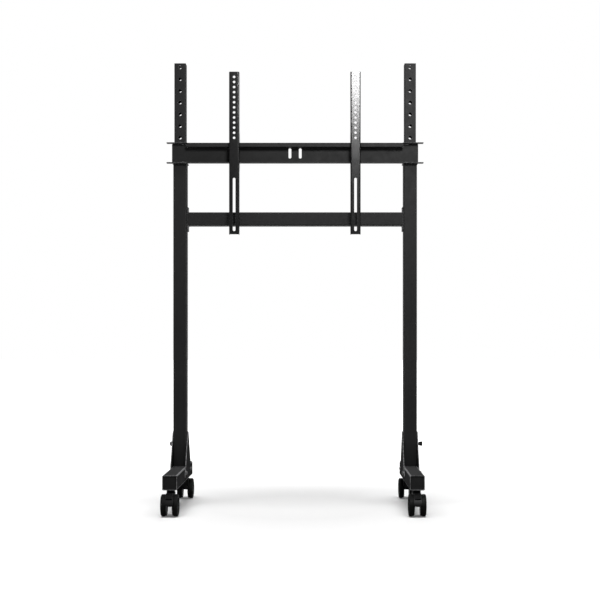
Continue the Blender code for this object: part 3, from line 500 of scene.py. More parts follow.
def new_tree(name, inputs):
    """An empty Geometry Nodes tree with named inputs, and its input and output nodes."""
    tree = bpy.data.node_groups.new(name, "GeometryNodeTree")
    for label, kind in (("Geometry", "Geometry"), *inputs, ("Finish", "Material")):
        tree.interface.new_socket(label, in_out="INPUT", socket_type=f"NodeSocket{kind}")
    tree.interface.new_socket("Geometry", in_out="OUTPUT", socket_type="NodeSocketGeometry")
    return tree, tree.nodes.new("NodeGroupInput").outputs


def close_tree(tree, instances, finish_socket):
    """Realize Instances, Set Material and the output."""
    real = add(tree, "GeometryNodeRealizeInstances", {"Geometry": instances}).outputs[0]
    coated = add(tree, "GeometryNodeSetMaterial", {"Geometry": real, "Material": finish_socket}).outputs[0]
    add(tree, "NodeGroupOutput", {0: coated})
    return tree


def set_on(tree, points, item, sockets):
    """The item set on each point."""
    return add(tree, "GeometryNodeInstanceOnPoints", {"Points": points, "Instance": item, **sockets}).outputs[0]


def line_of(tree, given):
    return add(tree, "GeometryNodeMeshLine", {
        "Count": given["Count"], "Start Location": given["First"], "Offset": given["Step"],
    }).outputs["Mesh"]


def ring_tree():
    """The item set round a circle, each one turned to face away from the middle."""
    tree, given = new_tree("items_round_a_ring", (("Count", "Int"), ("Radius", "Float")))
    ring = add(tree, "GeometryNodeMeshCircle", {"Vertices": given["Count"], "Radius": given["Radius"]})
    place = add(tree, "GeometryNodeInputPosition").outputs[0]
    apart = add(tree, "ShaderNodeSeparateXYZ", {0: place}).outputs
    heading = reckon(tree, "ARCTAN2", apart["Y"], apart["X"])
    turn = add(tree, "ShaderNodeCombineXYZ", {"Z": heading}).outputs[0]
    items = set_on(tree, ring.outputs["Mesh"], given["Geometry"], {"Rotation": turn})
    return close_tree(tree, items, given["Finish"])


def row_tree():
    """The item repeated along a straight line, each one a little different in size and turn."""
    tree, given = new_tree("items_in_a_row", (
        ("Count", "Int"), ("First", "Vector"), ("Step", "Vector"), ("Turn Play", "Float"), ("Size Play", "Float"),
        ("Seed", "Int"),
    ))
    turn = add(tree, "FunctionNodeRandomValue", {
        0: times(tree, given["Turn Play"], -1.0), 1: given["Turn Play"], "Seed": given["Seed"],
    }, data_type="FLOAT_VECTOR")
    small = reckon(tree, "SUBTRACT", 1.0, given["Size Play"])
    size = add(tree, "FunctionNodeRandomValue", {2: small, 3: 1.0, "Seed": given["Seed"]}, data_type="FLOAT")
    items = set_on(tree, line_of(tree, given), given["Geometry"], {
        "Rotation": turn.outputs[0], "Scale": size.outputs[1],
    })
    return close_tree(tree, items, given["Finish"])


def punch_tree():
    """A row of round holes through the given shape."""
    tree, given = new_tree("row_of_punched_holes", (
        ("Hole Diameter", "Float"), ("Hole Depth", "Float"), ("Count", "Int"), ("First", "Vector"),
        ("Step", "Vector"),
    ))
    radius = times(tree, given["Hole Diameter"], 0.5)
    punch = add(tree, "GeometryNodeMeshCylinder", {
        "Vertices": HOLE_STEPS, "Radius": radius, "Depth": given["Hole Depth"],
    })
    punches = set_on(tree, line_of(tree, given), punch.outputs["Mesh"], {"Rotation": (pi / 2, 0, 0)})
    real = add(tree, "GeometryNodeRealizeInstances", {"Geometry": punches}).outputs[0]
    pierced = add(tree, "GeometryNodeMeshBoolean", {"Mesh 1": given["Geometry"], "Mesh 2": real},
                  operation="DIFFERENCE", solver="EXACT")
    return close_tree(tree, pierced.outputs["Mesh"], given["Finish"])


RING = ring_tree()
ROW = row_tree()
PUNCH = punch_tree()


def grown(tree, item, sizes, coat):
    """The tree's result on the item, as a plain mesh."""
    holder = scratch(item)
    modifier = holder.modifiers.new(tree.name, "NODES")
    modifier.node_group = tree
    names = {s.name: s.identifier for s in tree.interface.items_tree if s.in_out == "INPUT"}
    for label, value in {**sizes, "Finish": coat}.items():
        modifier[names[label]] = value
    return shape_in(holder)


def ring_of(item, count, radius, axis, middle, coat, turn=None):
    return placed(grown(RING, item, {"Count": count, "Radius": radius}, coat), axis, middle, turn)


def row_of(item, count, first, step, coat, turn_play=0.0, size_play=0.0, seed=1):
    return grown(ROW, item, {
        "Count": count, "First": first, "Step": step,
        "Turn Play": turn_play, "Size Play": size_play, "Seed": seed,
    }, coat)


def weld_scale(radius):
    """One low ripple of a weld bead, a squashed ball with few faces."""
    work = bmesh.new()
    bmesh.ops.create_uvsphere(work, u_segments=10, v_segments=6, radius=radius)
    return settled(work)


def weld_bead(start, stop, radius, seed, coat=POWDER_COAT):
    """Overlapping ripples from one point to another."""
    start, stop = Vector(start), Vector(stop)
    count = max(2, round((stop - start).length / (0.62 * radius)) + 1)
    step = (stop - start) / (count - 1)
    return row_of(weld_scale(radius), count, start, step, coat, 0.5, 0.14, seed)


def thread_turns(diameter, pitch, low, high, axis, middle, coat):
    """Ridges of a screw thread between two heights along the axis."""
    radius = diameter / 2
    ridge = turned([
        (radius - 0.55 * pitch, -pitch / 2), (radius, -pitch / 12), (radius, pitch / 12),
        (radius - 0.55 * pitch, pitch / 2),
    ], "z", steps=24)
    count = int((high - low) / pitch)
    turns = row_of(ridge, count, (0, 0, low + pitch / 2), (0, 0, pitch), coat)
    return placed(turns, axis, middle)


# Pieces

def piece(name, mesh, slot, node=None, body=None, coat=None, bend_wear_and_highlight=0.0, sawn_wear_and_highlight=0.0):
    """A finished piece: shaded, marked where its rims, bends and sawn ends are painted lighter as wear and painted
    highlight, riding on its body.
    """
    # Rims, bends and sawn ends get weights toward the lighter edge tone: wear, and a painted highlight.
    rims = []
    for face in mesh.polygons:
        bent = sorted(map(abs, face.normal))[1] > BEND_LEAN
        sawn = abs(face.normal.y) > 0.9
        rims.append(1.0 if face.material_index == 1 else bend_wear_and_highlight if bent else sawn_wear_and_highlight * sawn)
    mesh.materials.clear()
    mesh.attributes.new("rim", "FLOAT", "FACE").data.foreach_set("value", rims)
    mesh.shade_smooth()
    mesh.set_sharp_from_angle(angle=SHARP)
    holder = scratch(mesh)
    tuned(holder.modifiers.new("Flat faces stay flat", "WEIGHTED_NORMAL"), keep_sharp=True)
    mesh = shape_in(holder)
    mesh.name = name
    mesh.materials.append(coat or FINISH_OF_SLOT[slot])
    obj = linked(name, mesh)
    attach(obj, body or frame["nodes"][node]["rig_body"])
    if node:
        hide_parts(node)


def span_of(node):
    """A CAD node's low corner, high corner and middle."""
    low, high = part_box(node)
    return low, high, (low + high) / 2


def middle_of(node):
    return span_of(node)[2]


def half_turn(flip):
    return HALF_TURN if flip else None


def facing(outline, end):
    """A side view drawn for the rear, turned round for the front."""
    return [(end * y, z) for y, z in outline]


def square_tube(length, across, wall, corner, axis, middle):
    outer, inner = square(across, corner), square(across - 2 * wall, max(corner - wall, 0.001))
    rings = [level(outer, -length / 2), level(outer, length / 2), level(inner, length / 2),
             level(inner, -length / 2)]
    return placed(skin(rings, tube=True), axis, middle)


def make_leg(hand):
    low, high, middle = span_of(f"leg_{hand}")
    tube = square_tube(high.y - low.y, high.x - low.x, LEG_WALL, LEG_CORNER, "y", middle)
    stems = [middle_of(f"caster_{end_name}_{hand}_stem") for end_name, _ in ENDS]
    stem_holes = [rod(LEG_STEM_HOLE, low.z - 0.001, low.z + 2 * LEG_WALL, "z", (*stem.xy, 0)) for stem in stems]
    piece(f"leg_tube_{hand}", softened(carved(tube, *stem_holes), 0.0005), "powder_black",
          node=f"leg_{hand}", coat=LEG_COAT_PAINTED_LIGHTER, bend_wear_and_highlight=EDGE_WEAR_AND_HIGHLIGHT, sawn_wear_and_highlight=SAWN_END_WEAR_AND_HIGHLIGHT)


def make_leg_cap(end_name, end, hand):
    """A plug with a bevelled border round a sunk, slightly crowned panel."""
    node = f"leg_cap_{end_name}_{hand}"
    low, high, middle = span_of(node)
    size = high.x - low.x
    face = low.y if end < 0 else high.y
    steps = (
        (size - 0.001, 0.0014, -0.012), (size, 0.0016, -0.011), (size, 0.0016, -0.0007),
        (size - 0.0006, 0.0014, -0.0002), (size - 0.0016, 0.0012, 0), (size - 0.0076, 0.0022, 0),
        (size - 0.0082, 0.0022, -0.0003), (size - 0.0094, 0.002, -0.001), (size - 0.011, 0.002, -0.001),
        (size - 0.024, 0.004, -0.0006), (0.006, 0.0026, -0.0005),
    )
    rings = [level(square(across, corner), height) for across, corner, height in steps]
    cap = placed(skin(rings), "y", (middle.x, face, middle.z), half_turn(end > 0))
    piece(f"leg_plug_{end_name}_{hand}", cap, "black_plastic", node=node, coat=CAP_PLASTIC)


def make_upright(hand):
    node = f"upright_{hand}"
    low, high, middle = span_of(node)
    tube = square_tube(high.z - low.z, high.y - low.y, UPRIGHT_WALL, UPRIGHT_CORNER, "z", middle)
    piece(f"upright_tube_{hand}", softened(tube, 0.0005), "powder_black", node=node, bend_wear_and_highlight=TUBE_WEAR_AND_HIGHLIGHT)


def make_post(hand):
    """Inner post with its row of adjustment holes, pierced front and back."""
    node = f"post_{hand}"
    low, high, middle = span_of(node)
    across = high.y - low.y
    tube = square_tube(high.z - low.z, across, TUBE_WALL, POST_CORNER, "z", middle)
    pierced = grown(PUNCH, tube, {
        "Hole Diameter": POST_HOLE_DIAMETER, "Hole Depth": 2 * across, "Count": POST_HOLES,
        "First": (middle.x, middle.y, high.z - POST_TOP_HOLE_DOWN), "Step": (0, 0, -POST_HOLE_PITCH),
    }, POWDER_COAT)
    piece(f"post_tube_{hand}", softened(pierced, 0.00045), "powder_black", node=node, bend_wear_and_highlight=TUBE_WEAR_AND_HIGHLIGHT)


def make_gusset(hand, face):
    node = f"gusset_{hand}_{face}"
    low, high, middle = span_of(node)
    half, tall = (high.y - low.y) / 2, high.z - low.z
    outline = rounded([
        (-GUSSET_HALF, 0, GUSSET_CORNER), (GUSSET_HALF, 0, GUSSET_CORNER), (0, GUSSET_APEX, GUSSET_TOP_ROUND),
    ], 8)
    top = max(y for _, y in outline)
    wide = max(x for x, _ in outline)
    outline = [(x * half / wide, y * tall / top) for x, y in outline]
    holes = [circle(0, FOOT_BOLT_UP, GUSSET_BOLT_HOLE)]
    holes += [circle(end * GUSSET_BOLT_REACH, GUSSET_BOLT_UP, GUSSET_BOLT_HOLE) for _, end in ENDS]
    sheet = plate([outline, *holes], high.x - low.x, "x", (middle.x, middle.y, low.z), 0.0005)
    piece(f"gusset_plate_{hand}_{face}", sheet, "powder_black", node=node, coat=LEG_COAT_PAINTED_LIGHTER, bend_wear_and_highlight=EDGE_WEAR_AND_HIGHLIGHT)


def socket_cutter(across, bottom, top, axis, middle, turn=None):
    return placed(hexagon(across, bottom, top, "z"), axis, middle, turn)


def make_gusset_bolt(end_name, hand, side):
    """Button head with a hexagon socket on the inner side, washer and nut on the outer side."""
    node = f"gusset_bolt_{end_name}_{hand}"
    turn = half_turn(side > 0)
    place = (middle_of(f"leg_{hand}").x, *middle_of(node).yz)
    head = 0.0286
    bolt = turned([
        (0, head + 0.0044), (0.0034, head + 0.0044, 0.0006), (0.0068, head + 0.0016, 0.0022),
        (0.007, head + 0.0004, 0.0003), (0.0066, head), (0.004, head - 0.0002),
        (0.004, -0.036), (0.0034, -0.0368, 0.0003), (0, -0.037),
    ], "x", place, turn=turn)
    bolt = carved(bolt, socket_cutter(0.005, head + 0.0018, head + 0.006, "x", place, turn))
    washer = turned([
        (0.0042, -0.0286), (0.0079, -0.0286, 0.0003), (0.0079, -0.0298, 0.0003), (0.0042, -0.0298),
    ], "x", place, tube=True, turn=turn)
    hexagon_nut = placed(nut(0.013, -0.035, -0.0298, 0.0076, "x"), "z", place, turn)
    thread = thread_turns(0.008, 0.00125, -0.0368, -0.035, "z", (0, 0, 0), BLACKENED_STEEL)
    placed(thread, "x", place, turn)
    piece(f"gusset_screw_{end_name}_{hand}", joined(bolt, washer, hexagon_nut, thread), "dark_bolt", node=node)


def make_foot_bolt():
    """Domed bolt at the top of the left outer gusset."""
    low, high, middle = span_of("foot_bolt_left")
    radius, reach = (high.z - low.z) / 2, high.x - low.x
    place = (high.x, middle.y, middle.z)
    head = reach - 0.011
    dome = turned([
        (0, reach), (0.0042, reach - 0.0002, 0.002), (0.0078, reach - 0.003, 0.003),
        (radius, reach - 0.0078, 0.002), (radius, head + 0.0004, 0.0004), (radius - 0.0006, head),
        (0.004, head), (0.004, 0), (0, 0),
    ], "x", place, turn=HALF_TURN)
    dome = carved(dome, socket_cutter(0.006, reach - 0.004, reach + 0.002, "x", place, HALF_TURN))
    piece("foot_dome_bolt_left", dome, "dark_bolt", node="foot_bolt_left")


def lobed(radius, lobes, depth):
    """Outline of a hand grip with shallow scallops."""
    count = lobes * 8
    points = []
    for i in range(count):
        turn = 2 * pi * (i + 0.5) / count
        scallop = (0.5 - 0.5 * cos(lobes * turn)) ** 1.6
        points.append(((radius - depth * scallop) * cos(turn), (radius - depth * scallop) * sin(turn)))
    return points


def grip(stations, lobes, axis, middle, turn=None):
    """(radius, height, scallop depth) stations skinned into a hand grip."""
    rings = [level(lobed(radius, lobes, depth), height) for radius, height, depth in stations]
    return placed(skin(rings), axis, middle, turn)


def make_foot_knob():
    """Tapered hand knob at the top of the right outer gusset."""
    low, high, middle = span_of("foot_knob_right")
    reach = high.x - low.x
    radius = (high.z - low.z) / 2
    place = (low.x, middle.y, middle.z)
    neck = reach - 0.0165
    stations = [
        (0.0046, neck, 0), (0.0049, neck + 0.0004, 0), (0.0049, neck + 0.0044, 0), (0.0066, neck + 0.005, 0),
        (0.007, neck + 0.0056, 0.0004), (0.0078, neck + 0.0096, 0.001), (radius - 0.0004, reach - 0.0026, 0.0012),
        (radius, reach - 0.0018, 0.0011), (radius - 0.0003, reach - 0.0008, 0.0008),
        (radius - 0.0012, reach - 0.0002, 0.0003), (radius - 0.0022, reach, 0), (0.0052, reach, 0),
        (0.0048, reach - 0.0006, 0), (0.0046, reach - 0.0012, 0), (0.0008, reach - 0.001, 0),
    ]
    stud = turned([(0, 0), (0.0036, 0, 0.0004), (0.004, 0.0006), (0.004, neck + 0.001), (0, neck + 0.001)],
                  "x", place)
    piece("foot_hand_knob_right", joined(grip(stations, 10, "x", place), stud), "black_plastic",
          node="foot_knob_right")


def make_cross_bar():
    """Square tube welded to two end plates that are countersunk for their screws."""
    low, high, middle = span_of("cross_bar")
    end = high.x
    inner = end - CROSS_PLATE
    tube = softened(square_tube(2 * inner + 0.002, CROSS_SIZE, TUBE_WALL, UPRIGHT_CORNER, "x", middle), 0.0003, 1)
    tall = (high.z - low.z) / 2
    outline = box_outline(-CROSS_PLATE_DEPTH / 2, -tall, CROSS_PLATE_DEPTH / 2, tall, 0.003)
    parts = [tube]
    seed = 11
    for _, side in SIDES:
        sheet = plate([outline, circle(0, 0, CROSS_PLATE_HOLE)], CROSS_PLATE, "x",
                      (side * (end - CROSS_PLATE / 2), middle.y, middle.z), 0.0005)
        seats = []
        for reach in (-1, 1):
            place = (side * inner, middle.y, middle.z + reach * CROSS_SCREW_REACH)
            seats.append(turned([
                (0, 0.001), (0.0063, 0.001), (0.0063, -0.0006), (0.0033, -0.0036), (0.0033, -0.006),
                (0, -0.006),
            ], "x", place, turn=half_turn(side > 0)))
        parts.append(carved(sheet, *seats))
        for reach in (-1, 1):
            x = side * (inner - 0.0004)
            z = middle.z + reach * (CROSS_SIZE / 2 + 0.0002)
            parts.append(weld_bead((x, middle.y - CROSS_WELD_HALF, z), (x, middle.y + CROSS_WELD_HALF, z),
                                   0.0022, seed))
            seed += 1
    piece("cross_tube", joined(*parts), "powder_black", node="cross_bar", bend_wear_and_highlight=TUBE_WEAR_AND_HIGHLIGHT)


def make_cross_screw(row, hand, side):
    """Countersunk screw with a hexagon socket, its nut inside the post."""
    node = f"cross_screw_{row}_{hand}"
    low, high, middle = span_of(node)
    reach = high.x - low.x
    face = low.x if side > 0 else high.x
    turn = half_turn(side > 0)
    place = (face, middle.y, middle.z)
    screw = turned([
        (0, 0), (0.0058, 0, 0.0003), (0.006, -0.0006, 0.0002), (0.003, -0.0036, 0.0003),
        (0.003, -reach + 0.0006), (0.0025, -reach), (0, -reach),
    ], "x", place, turn=turn)
    screw = carved(screw, socket_cutter(0.004, -0.0024, 0.002, "x", place, turn))
    hexagon_nut = placed(nut(0.01, -reach + 0.0003, -reach + 0.0053, 0.0058, "x"), "z", place, turn)
    piece(f"flush_screw_{row}_{hand}", joined(screw, hexagon_nut), "dark_bolt", node=node)


def folded(line, sheet, bend):
    """Outline of a sheet folded along a line of (x, y) corners, the sheet lying to the line's left."""
    points = [Vector(p) for p in line]
    near, far = [], []
    for i, point in enumerate(points):
        ahead = (points[i + 1] - point).normalized() if i + 1 < len(points) else (point - points[i - 1]).normalized()
        behind = (point - points[i - 1]).normalized() if i else ahead
        left = Vector((-behind.y, behind.x)), Vector((-ahead.y, ahead.x))
        turning = behind.x * ahead.y - behind.y * ahead.x
        shift = (left[0] + left[1]) / (1 + left[0].dot(left[1])) * sheet
        edge = i in (0, len(points) - 1)
        inside, outside = (bend, bend + sheet) if turning > 0 else (bend + sheet, bend)
        near.append((*point, 0 if edge else outside))
        far.append((*(point + shift), 0 if edge else inside))
    return rounded([*near, *reversed(far)], 6)


def make_monitor_bar():
    """Web plate with two slots, a shelf whose lip turns up, and a bottom flange, all from one folded sheet."""
    low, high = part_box("monitor_bar")
    back, front = high.y, low.y
    shelf_low = high.z - BAR_LIP
    half = BAR_SLOT_WIDTH / 2
    slot_top = high.z - BAR_SLOT_DOWN
    slots = []
    for _, side in SIDES:
        x = side * BAR_SLOT_SPACING / 2
        slots.append(box_outline(x - half, slot_top - BAR_SLOT_LENGTH, x + half, slot_top, half * 0.98, 10))
    web_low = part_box("collar_left")[0].z + SHEET + GAP
    web = plate([box_outline(low.x, web_low, high.x, high.z, 0.002), *slots], SHEET, "y",
                (0, back - SHEET / 2, 0), 0.0004)
    shelf = folded([(back - 0.0015, shelf_low), (front, shelf_low), (front, high.z)], -SHEET, 0.0012)
    foot = folded([(front, low.z), (back - GAP, low.z), (back - GAP, web_low + SHEET)], SHEET, 0.0016)
    strips = [plate([outline], 2 * FLANGE_HALF, "x", (0, 0, 0), 0.0004) for outline in (shelf, foot)]
    parts = [web, *strips]
    x = FLANGE_HALF - 0.0008
    for number, side in enumerate((-1, 1)):
        for z in (web_low + 0.002, high.z - 0.002):
            parts.append(weld_bead((side * (x + 0.0008), back - SHEET - 0.0002, z),
                                   (side * (x + 0.02), back - SHEET - 0.0002, z), 0.0012, 31 + number))
    piece("monitor_rail", joined(*parts), "powder_black", node="monitor_bar")


def make_collar(hand, side):
    """Two plates with ears, joined behind the rail by a folded sleeve with the lock's boss."""
    node = f"collar_{hand}"
    low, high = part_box(node)
    x = side * (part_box("leg_right")[0].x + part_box("leg_right")[1].x) / 2
    front = low.y
    sleeve_back = high.y - LOCK_BOSS_LENGTH
    plate_back = sleeve_back + 0.002
    outline = rounded([
        (-side * PLATE_HALF, front, 0.003),
        (side * EAR_REACH, front, 0.003),
        (side * EAR_REACH, front + EAR_DEPTH, 0.003),
        (side * PLATE_HALF, front + EAR_DEPTH, 0.0012),
        (side * PLATE_HALF, plate_back, 0.003),
        (-side * PLATE_HALF, plate_back, 0.003),
    ])
    web_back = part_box("monitor_bar")[1].y
    hole = box_outline(-POST_ROOM, web_back, POST_ROOM, sleeve_back - SHEET, 0.0022)
    parts = [plate([outline, hole], SHEET, "z", (x, 0, z), 0.0005)
             for z in (low.z + SHEET / 2, high.z - SHEET / 2)]
    sleeve = rounded([
        (-SLEEVE_HALF, web_back + GAP, 0), (-POST_ROOM, web_back + GAP, 0),
        (-POST_ROOM, sleeve_back - SHEET, 0.0016), (POST_ROOM, sleeve_back - SHEET, 0.0016),
        (POST_ROOM, web_back + GAP, 0), (SLEEVE_HALF, web_back + GAP, 0),
        (SLEEVE_HALF, sleeve_back, 0.0044), (-SLEEVE_HALF, sleeve_back, 0.0044),
    ], 6)
    inside = high.z - low.z - SHEET
    parts.append(plate([sleeve], inside, "z", (x, 0, (low.z + high.z) / 2), 0.0003))
    lock = middle_of(f"height_lock_{hand}")
    boss = turned([
        (0.0043, LOCK_BOSS_LENGTH - 0.0004), (0.0048, LOCK_BOSS_LENGTH), (0.008, LOCK_BOSS_LENGTH, 0.0008),
        (0.008, -0.001), (0.0043, -0.001),
    ], "y", (x, sleeve_back, lock.z), tube=True, turn=HALF_TURN)
    parts.append(boss)
    parts.append(ring_of(weld_scale(0.0014), 26, 0.0083, "y", (x, sleeve_back, lock.z), POWDER_COAT))
    seed = 51 + side
    for edge in (-1, 1):
        for z in (low.z + SHEET, high.z - SHEET):
            at = x + edge * (SLEEVE_HALF + 0.0003)
            parts.append(weld_bead((at, web_back + 0.006, z), (at, sleeve_back - 0.006, z), 0.0013, seed))
    piece(f"collar_plates_{hand}", joined(*parts), "powder_black", node=node)


def make_height_lock(hand):
    """Plunger knob with scallops, a turned collar and its steel pin."""
    node = f"height_lock_{hand}"
    low, high, middle = span_of(node)
    radius = (high.z - low.z) / 2
    reach = high.y - low.y
    place = (middle.x, low.y, middle.z)
    start = reach - 0.018
    stations = [
        (0.0072, start, 0), (0.0078, start + 0.0005, 0), (0.008, start + 0.003, 0), (0.0104, start + 0.0048, 0.0002),
        (radius - 0.0012, start + 0.0056, 0.0012), (radius - 0.0002, start + 0.0066, 0.0016),
        (radius, start + 0.008, 0.0017), (radius, reach - 0.0036, 0.0017), (radius - 0.0004, reach - 0.0022, 0.0015),
        (radius - 0.0018, reach - 0.0008, 0.0009), (radius - 0.0036, reach - 0.0002, 0.0002),
        (radius - 0.005, reach - 0.0001, 0), (0.007, reach - 0.0001, 0), (0.0066, reach - 0.0005, 0),
        (0.0064, reach - 0.0011, 0), (0.0012, reach - 0.0008, 0),
    ]
    knob = grip(stations, 12, "y", place, HALF_TURN)
    pin = turned([
        (0, 0), (0.003, 0, 0.0006), (0.004, 0.0014, 0.0004), (0.004, start + 0.001), (0, start + 0.001),
    ], "y", place, turn=HALF_TURN)
    piece(f"plunger_knob_{hand}", joined(knob, pin), "black_plastic", node=node)


def channel(width, depth, sheet, radius):
    half, inner = width / 2, width / 2 - sheet
    return rounded([
        (-half, 0, radius), (half, 0, radius), (half, depth, 0), (inner, depth, 0),
        (inner, sheet, radius - sheet), (-inner, sheet, radius - sheet), (-inner, depth, 0), (-half, depth, 0),
    ], 8)


def make_bracket(hand):
    """Folded channel with a row of holes and a long slot, hooked over the rail's lip, with a tab for its lock."""
    node = f"bracket_{hand}"
    low, high, middle = span_of(node)
    width, deep = high.x - low.x, high.y - low.y
    shell = prism(channel(width, deep, BRACKET_SHEET, BRACKET_ROUND), low.z, high.z, "z", (middle.x, low.y, 0))

    rail_low, rail_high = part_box("monitor_bar")
    far = low.y + 2 * deep
    edge = low.y + BRACKET_DEPTH
    slope = deep - BRACKET_DEPTH
    cheek_low = rail_low.z - CHEEK_BELOW_BAR - CHEEK
    hook_low = rail_high.z + GAP
    hook_high = hook_low + HOOK_HEIGHT
    lip_front, lip_back = rail_low.y - GAP, rail_low.y + SHEET + GAP
    cuts = (
        [(edge, low.z - 0.01), (far, low.z - 0.01), (far, cheek_low + far - edge - slope),
         (edge, cheek_low - slope)],
        [(edge, hook_high + slope), (far, hook_high + slope + edge - far), (far, high.z + 0.01),
         (edge, high.z + 0.01)],
        [(lip_front, rail_low.z - GAP), (far, rail_low.z - GAP), (far, hook_low - HOOK_FINGER),
         (lip_back, hook_low - HOOK_FINGER), (lip_back, hook_low), (lip_front, hook_low)],
    )
    cutters = [prism(outline, -width, width, "x", (middle.x, 0, 0)) for outline in cuts]
    half = BRACKET_SLOT_WIDTH / 2
    slot = box_outline(-half, low.z + BRACKET_SLOT_UP, half, low.z + BRACKET_SLOT_UP + BRACKET_SLOT_LENGTH,
                       half * 0.98, 10)
    cutters.append(prism(slot, -0.01, 0.01, "y", (middle.x, low.y, 0)))
    shell = carved(shell, *cutters)
    pierced = grown(PUNCH, shell, {
        "Hole Diameter": BRACKET_HOLE_DIAMETER, "Hole Depth": 4 * BRACKET_SHEET, "Count": BRACKET_HOLES,
        "First": (middle.x, low.y, high.z - BRACKET_TOP_HOLE_DOWN), "Step": (0, 0, -BRACKET_HOLE_PITCH),
    }, BRACKET_COAT)
    tab_z = rail_low.z - CHEEK_BELOW_BAR
    inside = width / 2 - BRACKET_SHEET + 0.0004
    lock = middle_of(f"bracket_lock_{hand}")
    tab_outline = box_outline(-inside, low.y + 0.001, inside, high.y - 0.001, 0.0008)
    tab = plate([tab_outline, circle(lock.x - middle.x, lock.y, 0.0066)], BRACKET_SHEET, "z",
                (middle.x, 0, tab_z), 0.0003)
    welds = []
    for side in (-1, 1):
        at = middle.x + side * (inside - 0.0006)
        welds.append(weld_bead((at, low.y + 0.012, tab_z + 0.0013), (at, high.y - 0.008, tab_z + 0.0013), 0.0011,
                               71 + side, BRACKET_COAT))
    piece(f"screen_bracket_{hand}", joined(softened(pierced, 0.00035), tab, *welds), "bracket_black",
          node=node)


def make_bracket_lock(hand):
    """Ribbed hand screw that clamps the bracket against the rail from below."""
    node = f"bracket_lock_{hand}"
    low, high, middle = span_of(node)
    radius = (high.x - low.x) / 2
    place = (middle.x, middle.y, 0)
    top = low.z + 0.01
    knob = turned([
        (0, low.z + 0.0006), (0.005, low.z + 0.0006, 0.0003), (0.0056, low.z, 0.0004),
        (radius - 0.0012, low.z, 0.001), (radius - 0.0008, low.z + 0.0022, 0.0004),
        (radius - 0.0008, top - 0.0018, 0.0004), (radius - 0.0016, top, 0.0008), (0.0058, top, 0.0002),
        (0.0054, top + 0.0001), (0, top + 0.0001),
    ], "z", place)
    rib = turned([(0, -0.0034), (0.0008, -0.003), (0.0008, 0.003), (0, 0.0034)], "z", steps=8)
    ribs = ring_of(rib, 26, radius - 0.0008, "z", (middle.x, middle.y, (low.z + top) / 2), MOULDED_PLASTIC)
    core = turned([(0, top), (0.0026, top), (0.0026, high.z - 0.0008), (0.0018, high.z), (0, high.z)],
                  "z", place)
    thread = thread_turns(0.006, 0.001, top + 0.0002, high.z - 0.0008, "z", place, MOULDED_PLASTIC)
    piece(f"bracket_hand_screw_{hand}", joined(knob, ribs, core, thread), "black_plastic", node=node)


def make_stem(where):
    """Caster stem: nut inside the leg, flange with bearing rings under it, pin in the body."""
    node = f"caster_{where}_stem"
    low, high, middle = span_of(node)
    place = (middle.x, middle.y, 0)
    flange_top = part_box(f"leg_{where.split('_')[1]}")[0].z - GAP
    flange_low = flange_top - STEM_FLANGE
    stem = turned([
        (0, high.z), (0.005, high.z, 0.0003), (0.006, high.z - 0.0012, 0.0002), (0.006, flange_top),
        (0.0104, flange_top, 0.0004), (0.011, flange_top - 0.0008, 0.0004), (0.011, flange_low + 0.001, 0.0003),
        (0.0102, flange_low + 0.0007, 0.0001), (0.0102, flange_low + 0.0004, 0.0001),
        (0.0107, flange_low + 0.0003, 0.0001), (0.0107, flange_low), (0.005, flange_low),
        (0.005, low.z + 0.001, 0.0004), (0.0042, low.z), (0, low.z),
    ], "z", place)
    nut_low = flange_top + 0.0031
    hexagon_nut = nut(0.018, nut_low, nut_low + 0.008, 0.0116, "z", place)
    thread = thread_turns(0.012, 0.00175, nut_low + 0.008, high.z - 0.001, "z", place, ZINC_PLATE)
    piece(f"caster_stem_{where}", joined(stem, hexagon_nut, thread), "zinc", node=node)


def hood_outline():
    """Side view of the hood, from the boss over the wheels to the open bottom, with a lobe round the axle."""
    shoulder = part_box("caster_front_left_body")[1].z - SWIVEL_HEIGHT
    boss = SWIVEL_RADIUS - 0.001
    curve = arc(HOOD_RADIUS, 100, 10, 22, (TRAIL, WHEEL_RADIUS))
    lobe = arc(AXLE_LOBE, 0, -180, 12, (TRAIL, WHEEL_RADIUS))
    low_bow = rounded([
        (TRAIL - AXLE_LOBE, HOOD_BOTTOM, 0), (0, HOOD_BOTTOM, 0.01), (-boss, HOOD_BOTTOM + boss, 0.01),
        (-boss, shoulder, 0),
    ], 6, closed=False)
    return [*curve, (TRAIL + HOOD_RADIUS - 0.0002, HOOD_BOTTOM), (TRAIL + AXLE_LOBE, HOOD_BOTTOM), *lobe, *low_bow]


def lever_slot(end):
    """Outline of the room the brake's arm needs, from its place at rest to its place when pressed."""
    spare = 0.0024
    outline = []
    for at, offset, reaches in ((LEVER_ARM_AT - LEVER_TURN, -spare, (0.004, 0.05)),
                                (LEVER_ARM_AT, spare, (0.05, 0.004))):
        turn = Matrix.Rotation(radians(at), 2)
        outline += [turn @ Vector((reach, offset)) for reach in reaches]
    return [(end * (p.x + TRAIL), p.y + WHEEL_RADIUS) for p in outline]


